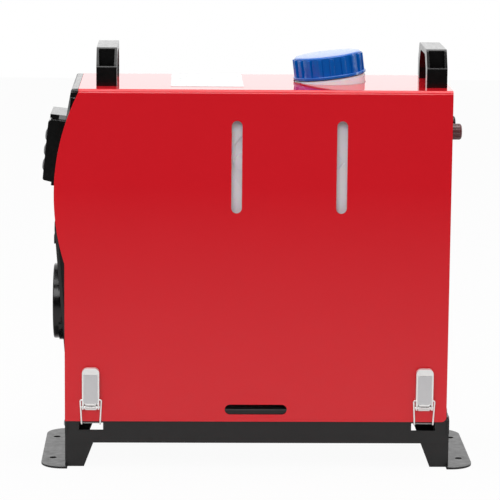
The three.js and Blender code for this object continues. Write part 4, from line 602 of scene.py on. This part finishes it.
def rear_panel():
    (x0, _, z0), (x1, y1, z1) = box_mm("rear_panel")
    wall, through = 3, (x0 - 2, x1 + 2)
    panel = prism("rear_panel_shell", arched(y1, z0, z1, 3.3, 8), "x", (x0, x1))
    pocket = prism("pocket", arched(y1 - wall, z0 + wall, z1 - wall, 1, 4), "x", (x0 - 1, x1 - wall))
    intake = prism("intake", circle((0, OUTLET_Z), 46.3, 72), "x", through)
    studs = [prism("stud", circle((y, 329.8), 3.3, 24), "x", through) for y in (-31, 31)]
    cut(panel, pocket, intake, *studs)
    dress(soften(panel, 0.8, 3), "black_plastic", replaces=["rear_panel"])


def grille():
    (x0, y0, _), (x1, y1, _) = box_mm("intake_grille")
    radius = (y1 - y0) / 2
    profile = [(x0, radius), (x0, radius - 3), (x1, radius - 3), (x1, radius)]
    rim = lathe("grille_rim", profile, "x", (0, OUTLET_Z), 72)
    bars = []
    for i in range(1, 8):
        offset = 2 * radius * i / 8 - radius
        reach = math.sqrt((radius - 1.5) ** 2 - offset ** 2)
        bars.append(block("bar", (x0, x1), (-reach, reach), (OUTLET_Z + offset - 1, OUTLET_Z + offset + 1)))
    bars.append(block("post", (x0, x1), (-1.5, 1.5), (OUTLET_Z - radius + 1.5, OUTLET_Z + radius - 1.5)))
    join(rim, *bars)
    dress(soften(rim, 0.3, 2), "black_plastic", replaces=["intake_grille"])


def handle(node):
    """An upright bow with a pocket moulded into each of its sloping shoulders."""
    (x0, y0, z0), (x1, y1, z1) = box_mm(node)
    centre, end, high = (y0 + y1) / 2, (y1 - y0) / 2, z1 - z0
    top, leg, crown, knee = end - 12, end - 14, high - 6, 19
    outline = [(end, 0), (end, knee), (top, high), (-top, high), (-end, knee), (-end, 0), (-leg, 0),
               (-leg, knee - 3), (12 - leg, crown), (leg - 12, crown), (leg, knee - 3), (leg, 0)]
    sharp = {0, 5, 6, 11}
    points = []
    for i, corner in enumerate(outline):
        if i in sharp:
            points.append(corner)
            continue
        reach = 2.5 if i in (2, 3) else 5 if i > 6 else 2
        points += turning(outline[i - 1], corner, outline[(i + 1) % len(outline)], reach, 5)
    grip = prism("grip", [(y + centre, z + z0) for y, z in points], "x", (x0, x1))
    low, rim, bend = z0 + knee - 1.5, 2.3, 3
    shape = [(x0 + rim, z1 - 1.2), *arc((x0 + rim + bend + 0.5, low + bend), bend, 180, 270, 6),
             *arc((x1 - rim - bend - 0.5, low + bend), bend, 270, 360, 6), (x1 - rim, z1 - 1.2)]
    pockets = []
    for side in (-1, 1):
        span = sorted((centre + side * (end - 0.5), centre + side * (top - 1)))
        pockets.append(prism("pocket", shape, "y", span))
    cut(grip, *pockets)
    grip.name = node + "_moulding"
    dress(soften(grip, 0.7, 3), "black_plastic", replaces=[node])


def label():
    (x0, y0, z0), (x1, y1, z1) = box_mm("label_plate")
    outline = rounded(x1 - x0, y1 - y0, 2.5, ((x0 + x1) / 2, (y0 + y1) / 2))
    sheet = prism("bare_label", outline, "z", (z0, z1))
    dress(soften(sheet, 0.08, 1), "label", replaces=["label_plate"])


# ------------------------------------------------------------------ control panel
def controller():
    half, depth, wall, end = PANEL_HALF, PANEL_DEPTH, 2.5, 45
    brow, chin = 3.0, 2.2    # bends of its upper and lower edge
    corners = [(-0.3, -half), (-0.3, half), *arc((brow - depth, half - brow), brow, 90, 180, 6),
               *arc((chin - depth, 3.4 - half), chin, 180, 262, 6), (-6, -half)]
    body = prism("controller_case", corners, "y", (-end, end), PANEL)
    lugs = [block("lug", (-8.5, -4.2), span, (-half - 3.2, 1 - half), PANEL)
            for span in ((1 - end, 11 - end), (end - 11, end - 1))]
    join(body, *lugs)
    height = (2 * wall - half, half - wall)
    hollow = block("hollow", (wall - depth, 1), (wall - end, end - wall), height, PANEL)
    recess = prism("recess", rounded(50.6, 36.6, 1.5, (SCREEN_Y, 0)), "x", (-depth - 1, 1.5 - depth), PANEL)
    keys = [rounded(15.6, 11.6, 3, (KEY_Y, row * KEY_PITCH)) for row in (-1, 0, 1)]
    holes = [prism("hole", key, "x", (-depth - 1, wall - depth + 1), PANEL) for key in keys]
    cut(body, hollow, recess, *holes)
    dress(soften(body, 0.8, 3), "black_plastic", replaces=["controller_body"])


def screen():
    outline = rounded(50, 36, 1.3, (SCREEN_Y, 0))
    glass = prism("screen_window", outline, "x", (-PANEL_DEPTH, -16.0), PANEL)
    dress(soften(glass, 0.2, 2), "screen", replaces=["controller_screen"])


def button(node, row):
    """A lens-shaped rubber key, built up from ever smaller outlines."""
    place, wide, high = (KEY_Y, row * KEY_PITCH), 15, 11
    layers = [(0, -14.3), (0, -17.4), (0.5, -17.9), (1.3, -18.35), (2.3, -18.7), (3.4, -18.92), (4.6, -19.0)]
    outlines = [rounded(wide - 2 * inset, high - 2 * inset, max(3 - inset, 0.8), place, 6)
                for inset, _ in layers]
    points = [AXES["x"](u, v, x) for outline, (_, x) in zip(outlines, layers) for u, v in outline]
    count, faces = len(outlines[0]), []
    for layer in range(len(layers) - 1):
        for i in range(count):
            a, b = layer * count + i, layer * count + (i + 1) % count
            faces.append((a, b, b + count, a + count))
    last = (len(layers) - 1) * count
    faces += [tuple(range(count)), tuple(range(last, last + count))]
    key = mesh_object(node + "_key", points, faces, PANEL)
    smooth(key, 60)
    dress(key, "black_plastic", node, [node], "keys")


# ------------------------------------------------------------------ outlet
def outlet():
    (x0, y0, _), (x1, y1, _) = box_mm("outlet_ring")
    outer = (y1 - y0) / 2
    inner = outer - 2.4
    profile = [(x1, inner), (x1, outer), (x0 + 1.2, outer), (x0 + 0.35, outer - 0.35), (x0, outer - 1.2),
               (x0 + 0.3, inner + 0.3), (x0 + 1, inner)]
    ring = lathe("outlet_collar", profile, "x", (0, OUTLET_Z), 96)
    pitch, half = 11, 0.9
    vanes = []
    for place in (-2, -1, 0, 1, 2):
        offset = place * pitch
        reach = math.sqrt((inner + 1) ** 2 - offset ** 2)
        height = (OUTLET_Z + offset - half, OUTLET_Z + offset + half)
        vanes.append(block("vane", (x0 + 10.1, x0 + 13.1), (-reach, reach), height))
    join(ring, *vanes)
    dress(soften(ring, 0.25, 2), "black_plastic", replaces=["outlet_ring"])


# ------------------------------------------------------------------ tank and cap
CAP_FRAME = Matrix.Translation(CAP_PLACE) @ Matrix.Rotation(CAP_TILT, 4, "Y")


def tank():
    (_, y0, z0), (x1, y1, _) = box_mm("fuel_tank")
    x0, z1 = -118, 366    # without the outlet stub and the filler neck, which the frame's box holds too
    body = prism("fuel_tank_moulding", rounded(x1 - x0, y1 - y0, 12, ((x0 + x1) / 2, 0)), "z", (z0, z1))
    # crossed grooves that show in the two windows: place, slant in degrees, reach along it, half width
    marks = (((-33.5, 303), 48, (-75, 75), 5), ((WINDOW_X[1] + 2.6, 303), 43, (-9, 0.6), 0.8))
    grooves = []
    for (x, z), slant, reach, half in marks:
        for lean in (-slant, slant):
            turn = Matrix.Translation((x, 0, z)) @ Matrix.Rotation(math.radians(lean), 4, "Y")
            for side in (-1, 1):
                span = sorted((side * (y1 - 1.5), side * (y1 + 2)))
                grooves.append(block("groove", reach, span, (-half, half), turn))
    core = block("core", (x0 + 12, x1 - 12), (y0 - 3, y1 + 3), (z0 + 8, z1 - 8))
    pattern = grooves[0]
    keep(join(pattern, *grooves[1:]), core)
    cut(body, pattern)
    soften(body, 1.2, 3, 30)

    collar = prism("collar", circle(CAP_PLACE[:2], 35.2), "z", (z1 - 1, CAP_PLACE[2] + 20))
    cut(collar, block("top", (-60, 60), (-60, 60), (-1, 60), CAP_FRAME))
    waist = [(-2.6, 34.2), (-2.6, 50), (1, 50), (1, 34.2)]
    cut(collar, lathe("groove", waist, "z", steps=72, matrix=CAP_FRAME))
    neck = prism("neck", circle((0, 0), 29.5), "z", (-6, 17.6), CAP_FRAME)
    stub = prism("stub", circle((-50, z0 + 10), 3, 24), "x", (-126, -117))
    join(body, collar, neck, stub)
    cut(body, prism("bore", circle((0, 0), 26.7), "z", (-24, 20), CAP_FRAME))
    smooth(body)
    dress(body, "tank_plastic", replaces=["fuel_tank"])


def cap():
    base, radius, inside, height, flange, skin = 36.2, 33.0, 31.6, CAP_HEIGHT, 2.9, 2.1
    dome = [(height - 0.75, radius - 0.9), (height - 0.4, radius - 2.6), (height - 0.18, 22), (height, 8),
            (height, 0.01)]
    profile = [(0.3, inside), (0, base - 0.6), (0.5, base), (flange - 0.5, base), (flange, base - 0.6),
               (flange, radius), (height - 1.6, radius), *dome, (height - skin, 0.01),
               (height - skin, inside)]
    shell = lathe("cap_shell", profile, "z", steps=108)
    shell.data.transform(CAP_FRAME)
    smooth(shell, 38)

    count, deep, wide, proud, phase, lip = 18, 4.4, 4.6, 2.0, 13.4, 2.7
    rib = prism("rib", rounded(deep, wide, 0.9, (0, 0), 4), "z", (flange - 0.4, height - lip))
    soften(rib, 0.45, 2)
    reach = radius + proud - deep / 2
    turns = [math.radians(360 * i / count + phase) for i in range(count)]
    places = [(reach * math.cos(a), reach * math.sin(a), 0) for a in turns]
    ribs = copied("cap_ribs", rib, places, "blue_cap", radial=1.0)
    ribs.data.transform(CAP_FRAME)
    dress(ribs, "blue_cap", "fuel_cap")
    dress(shell, "blue_cap", "fuel_cap", ["fuel_cap"])


# ------------------------------------------------------------------ power terminals
def terminal(sign):
    knob_node, stud_node = f"terminal_knob_{sign}", f"terminal_stud_{sign}"
    (x0, y0, z0), (x1, y1, z1) = box_mm(knob_node)
    centre, radius, bore = ((y0 + y1) / 2, (z0 + z1) / 2), (y1 - y0) / 2, 3.3
    profile = [(x0, bore), (x0, radius - 0.8), (x0 + 0.8, radius), (x1 - 2.2, radius),
               (x1 - 0.8, radius - 0.7), (x1 - 0.1, radius - 2.2), (x1, 0.01), (x1 - 4.7, 0.01),
               (x1 - 4.7, bore)]
    knob = lathe(knob_node + "_insulator", profile, "x", centre, 48)
    count, outside = 12, radius + 0.5
    flutes = []
    for i in range(count):
        angle = math.radians(360 / count * i)
        place = (centre[0] + outside * math.cos(angle), centre[1] + outside * math.sin(angle))
        flutes.append(prism("flute", circle(place, 1.1, 12), "x", (x0 + 3.5, x1 + 1)))
    cut(knob, *flutes)
    slot = "maroon_plastic" if sign == "positive" else "black_plastic"
    dress(soften(knob, 0.2, 2), slot, f"knob_{sign}", [knob_node])

    (start, _, _), (end, _, _) = box_mm(stud_node)
    profile = [(start, 0.01), (start, 2.6), (start + 0.5, 3), (end - 0.5, 3), (end, 2.6), (end, 0.01)]
    stud = lathe(stud_node + "_turned", profile, "x", centre, 32)
    nut_end = 181.2
    join(stud, prism("nut", circle(centre, 5.5, 6), "x", (nut_end - 3, nut_end)))
    dress(soften(stud, 0.2, 2), "brass", replaces=[stud_node])


# ------------------------------------------------------------------ latches
FACE_Y = -72.5                             # the cover's broad face, which the latches sit on
PIN_Y, PIN_Z = FACE_Y - 3.9, 61.5          # the pin that a lever turns on
BAIL_Y, BAIL_Z = PIN_Y + 0.8, PIN_Z + 7    # where its bail turns in it


def latch(name, x, back):
    """A toggle latch: base plate with its ears and pin, lever with its inset panel, and wire bail."""
    place = Matrix.Translation((x, 0, 0)) @ Matrix.Rotation(math.pi if back else 0, 4, "Z")
    mount = FACE_Y - 0.3
    plate = prism("latch_base", rounded(12.4, 33.5, 1.5, (0, 74.75)), "y", (mount - 1, mount))
    ear = [(mount, PIN_Z + 5), *arc((PIN_Y, PIN_Z), 2.2, 90, 270, 10), (mount, PIN_Z - 2)]
    ears = [prism("ear", ear, "x", span) for span in ((-6.2, -5.1), (5.1, 6.2))]
    pin = prism("pin", circle((PIN_Y, PIN_Z), 1.1, 24), "x", (-9, 9))
    join(plate, *ears, pin)
    soften(plate, 0.18, 2)
    plate.data.transform(place)
    plate.name = f"latch_base_{name}_plate"
    dress(plate, "nickel", replaces=[f"latch_base_{name}"])

    half, top, corner, steel = 8.4, 101, 4.8, 1.5
    face, rear = FACE_Y - 7.5, FACE_Y - 1.5
    lever = prism("lever", arched(half, PIN_Z - 2, top, corner, 10), "y", (face, rear))
    channel = block("channel", (steel - half, half - steel), (face + steel, rear + 1), (0, top - half))
    mouth = block("mouth", (-half - 1, half + 1), (face - 1, face + steel), (0, PIN_Z + 2.5))
    panel, middle, depth = (13.8, 28.8), 80.2, 0.7
    inset = prism("inset", rounded(*panel, 1, (0, middle)), "y", (face - 1, face + depth))
    pivots = ((PIN_Y, PIN_Z), (BAIL_Y, BAIL_Z))
    holes = [prism("hole", arc(pivot, 1.4, 0, 345, 15), "x", (-10, 10)) for pivot in pivots]
    heel = block("heel", (-10, 10), (PIN_Y + 3.2, 0), (0, PIN_Z + 4))
    eyes = [prism("eye", circle((side, 64.5), 0.9, 12), "y", (face - 1, face + 2.5)) for side in (-5.9, 5.9)]
    cut(lever, channel, mouth, inset, *holes, heel, *eyes)
    soften(lever, 0.35, 3)
    lever.data.transform(place)
    lever.name = f"latch_lever_{name}_pressing"
    dress(lever, "nickel", f"lever_{name}", [f"latch_lever_{name}"])
    # the panel in the lever's recess: rougher nickel, its colour painted darker as painted shade of the
    # recess
    sheet = prism("panel", rounded(panel[0] - 0.3, panel[1] - 0.3, 0.9, (0, middle)), "y",
                  (face + depth - 0.35, face + depth + 0.2))
    soften(sheet, 0.12, 2)
    sheet.data.transform(place)
    sheet.name = f"latch_lever_{name}_panel"
    dress(sheet, "nickel", f"lever_{name}", finish="nickel_with_painted_shade")

    broad, narrow, peg, drop, front, hook = 10.35, 9.05, 7.1, 43.9, FACE_Y - 1.5, FACE_Y + 5.1
    right = [(peg, BAIL_Y, BAIL_Z), (broad, BAIL_Y, BAIL_Z), (narrow, front, drop), (narrow, hook, drop)]
    left = [(-px, py, pz) for px, py, pz in reversed(right)]
    wire = tube(f"latch_bail_{name}_wire", bent([*right, *left], 1.4), 0.8, 14, place)
    smooth(wire, 40)
    dress(wire, "nickel", f"bail_{name}", [f"latch_bail_{name}"])


# ------------------------------------------------------------------ assembly
cover()
base_frame()
foot_bracket("foot_bracket_left", -1)
foot_bracket("foot_bracket_right", 1)
fascia()
rear_panel()
grille()
handle("handle_left")
handle("handle_right")
label()
controller()
screen()
for node, row in (("button_up", 1), ("button_power", 0), ("button_down", -1)):
    button(node, row)
outlet()
tank()
cap()
terminal("positive")
terminal("negative")
for latch_side in ("front", "back"):
    for latch_end, latch_x in (("left", -LATCH_X), ("right", LATCH_X)):
        latch(f"{latch_side}_{latch_end}", latch_x, latch_side == "back")

(_, _, _), (rear_x, _, _) = box_mm("rear_panel")
screws("rear_panel_screws", [(rear_x, y, z) for y in (-62, 62) for z in (92, 225, 358)], (1, 0, 0))
for bracket_end in (-1, 1):
    wall_places = [(bracket_end * WALL_FACE, y, 40) for y in (-52, 0, 52)]
    screws(f"foot_screws_{'right' if bracket_end > 0 else 'left'}", wall_places, (bracket_end, 0, 0), 3.4)

# the pieces that keep their CAD shape, such as all that is inside
for node, shown in frame["nodes"].items():
    if not shown.hide_render:
        shown.data.materials.clear()
        shown.data.materials.append(FINISH[SLOT_OF[node]])


# ------------------------------------------------------------------ stage, light and camera
def floor():
    """White paper to the camera; what it sends to the object fades towards the dark end of the room, as
    painted shade in the paper's colour.
    """
    half, level, fade_end, fade_start, dim, bright = 3.4, -0.0004, -1.9, -0.15, 0.05, 0.6
    points = [(-half, -half, level), (half, -half, level), (half, half, level), (-half, half, level)]
    ground = mesh_object("floor", points, [(0, 1, 2, 3)])
    material = bpy.data.materials.new("white_floor")
    material.use_nodes = True
    tree = material.node_tree
    tree.nodes.clear()
    seen = add(tree, "ShaderNodeLightPath").outputs["Is Camera Ray"]
    share = add(tree, "ShaderNodeMath", {0: seen, 1: 0.95}, operation="MULTIPLY").outputs[0]
    where = add(tree, "ShaderNodeTexCoord").outputs["Object"]
    depth = add(tree, "ShaderNodeSeparateXYZ", {0: where}).outputs["Y"]
    # painted shade: the paper's colour is painted darker with distance towards -Y
    settings = {"Value": depth, "From Min": fade_end, "From Max": fade_start, "To Min": dim,
                "To Max": bright}
    painted_floor_shade = add(tree, "ShaderNodeMapRange", settings).outputs["Result"]
    paper = add(tree, "ShaderNodeBsdfDiffuse", {"Color": painted_floor_shade}).outputs[0]
    glow = add(tree, "ShaderNodeEmission", {"Color": (1, 1, 1, 1), "Strength": 1.0}).outputs[0]
    mix = add(tree, "ShaderNodeMixShader", {0: share, 1: paper, 2: glow})
    add(tree, "ShaderNodeOutputMaterial", {"Surface": mix.outputs[0]})
    ground.data.materials.append(material)


def area_light(name, place, target, size, radiance):
    """A lamp hidden from the camera; radiance is how bright its face is, whatever its size."""
    data = bpy.data.lights.new(name, "AREA")
    data.shape = "RECTANGLE"
    data.size, data.size_y = size
    data.energy = radiance * math.pi * size[0] * size[1]
    light = bpy.data.objects.new(name, data)
    light.location = place
    light.rotation_euler = (Vector(target) - Vector(place)).to_track_quat("-Z", "Y").to_euler()
    light.visible_camera = False
    bpy.context.scene.collection.objects.link(light)


def sky():
    """White to the camera, a room that is dark towards -Y to mirrors, and an even grey to all else."""
    world = bpy.data.worlds.new("studio")
    bpy.context.scene.world = world
    world.use_nodes = True
    tree = world.node_tree
    tree.nodes.clear()
    ray = add(tree, "ShaderNodeLightPath")
    direction = add(tree, "ShaderNodeTexCoord").outputs["Generated"]
    y = add(tree, "ShaderNodeSeparateXYZ", {0: direction}).outputs["Y"]
    settings = {"Value": y, "From Min": -0.05, "From Max": 0.4, "To Min": 0.04, "To Max": 1.0}
    backdrop = add(tree, "ShaderNodeMapRange", settings, interpolation_type="SMOOTHSTEP").outputs["Result"]
    kinds = {0: ray.outputs["Is Glossy Ray"], 1: ray.outputs["Is Transmission Ray"]}
    mirror = add(tree, "ShaderNodeMath", kinds, operation="MAXIMUM").outputs[0]
    soft = add(tree, "ShaderNodeMix", {"Factor": mirror, "A": 0.55, "B": backdrop}).outputs[0]
    seen = {"Factor": ray.outputs["Is Camera Ray"], "A": soft, "B": 1.0}
    strength = add(tree, "ShaderNodeMix", seen).outputs[0]
    background = add(tree, "ShaderNodeBackground", {"Color": (1, 1, 1, 1), "Strength": strength})
    add(tree, "ShaderNodeOutputWorld", {"Surface": background.outputs[0]})


def camera():
    """The viewpoint: its place in metres, and its turn in degrees."""
    place = Vector((-0.0757, -2.5910, 0.6650))
    yaw, pitch, roll = (math.radians(a) for a in (1.52, 10.06, 0.52))
    forward = Vector((math.sin(yaw) * math.cos(pitch), math.cos(yaw) * math.cos(pitch), -math.sin(pitch)))
    level = Vector((math.cos(yaw), -math.sin(yaw), 0))
    upright = level.cross(forward)
    right = math.cos(roll) * level + math.sin(roll) * upright
    up = -math.sin(roll) * level + math.cos(roll) * upright
    data = bpy.data.cameras.new("camera")
    data.sensor_width = 36
    data.lens = 189.3
    data.clip_start, data.clip_end = 0.05, 50
    eye = bpy.data.objects.new("camera", data)
    turn = Matrix((right, up, -forward)).transposed().to_4x4()
    eye.matrix_world = Matrix.Translation(place) @ turn
    bpy.context.scene.collection.objects.link(eye)
    bpy.context.scene.camera = eye


floor()
sky()
area_light("overhead", (0.05, -0.1, 2.0), (0, 0, 0.2), (1.7, 1.3), 3.4)
area_light("fill", (-0.5, -3.0, 2.3), (0, 0, 0.2), (2.2, 1.6), 4.0)
area_light("rear", (0.1, 3.5, 1.05), (0, 0, 0.3), (3.4, 1.3), 0.5)
for side_x in (-2.0, 2.0):
    area_light("side", (side_x, 0.2, 0.6), (0, 0, 0.25), (0.25, 1.6), 7.0)
camera()
bpy.context.scene.view_settings.view_transform = "Standard"
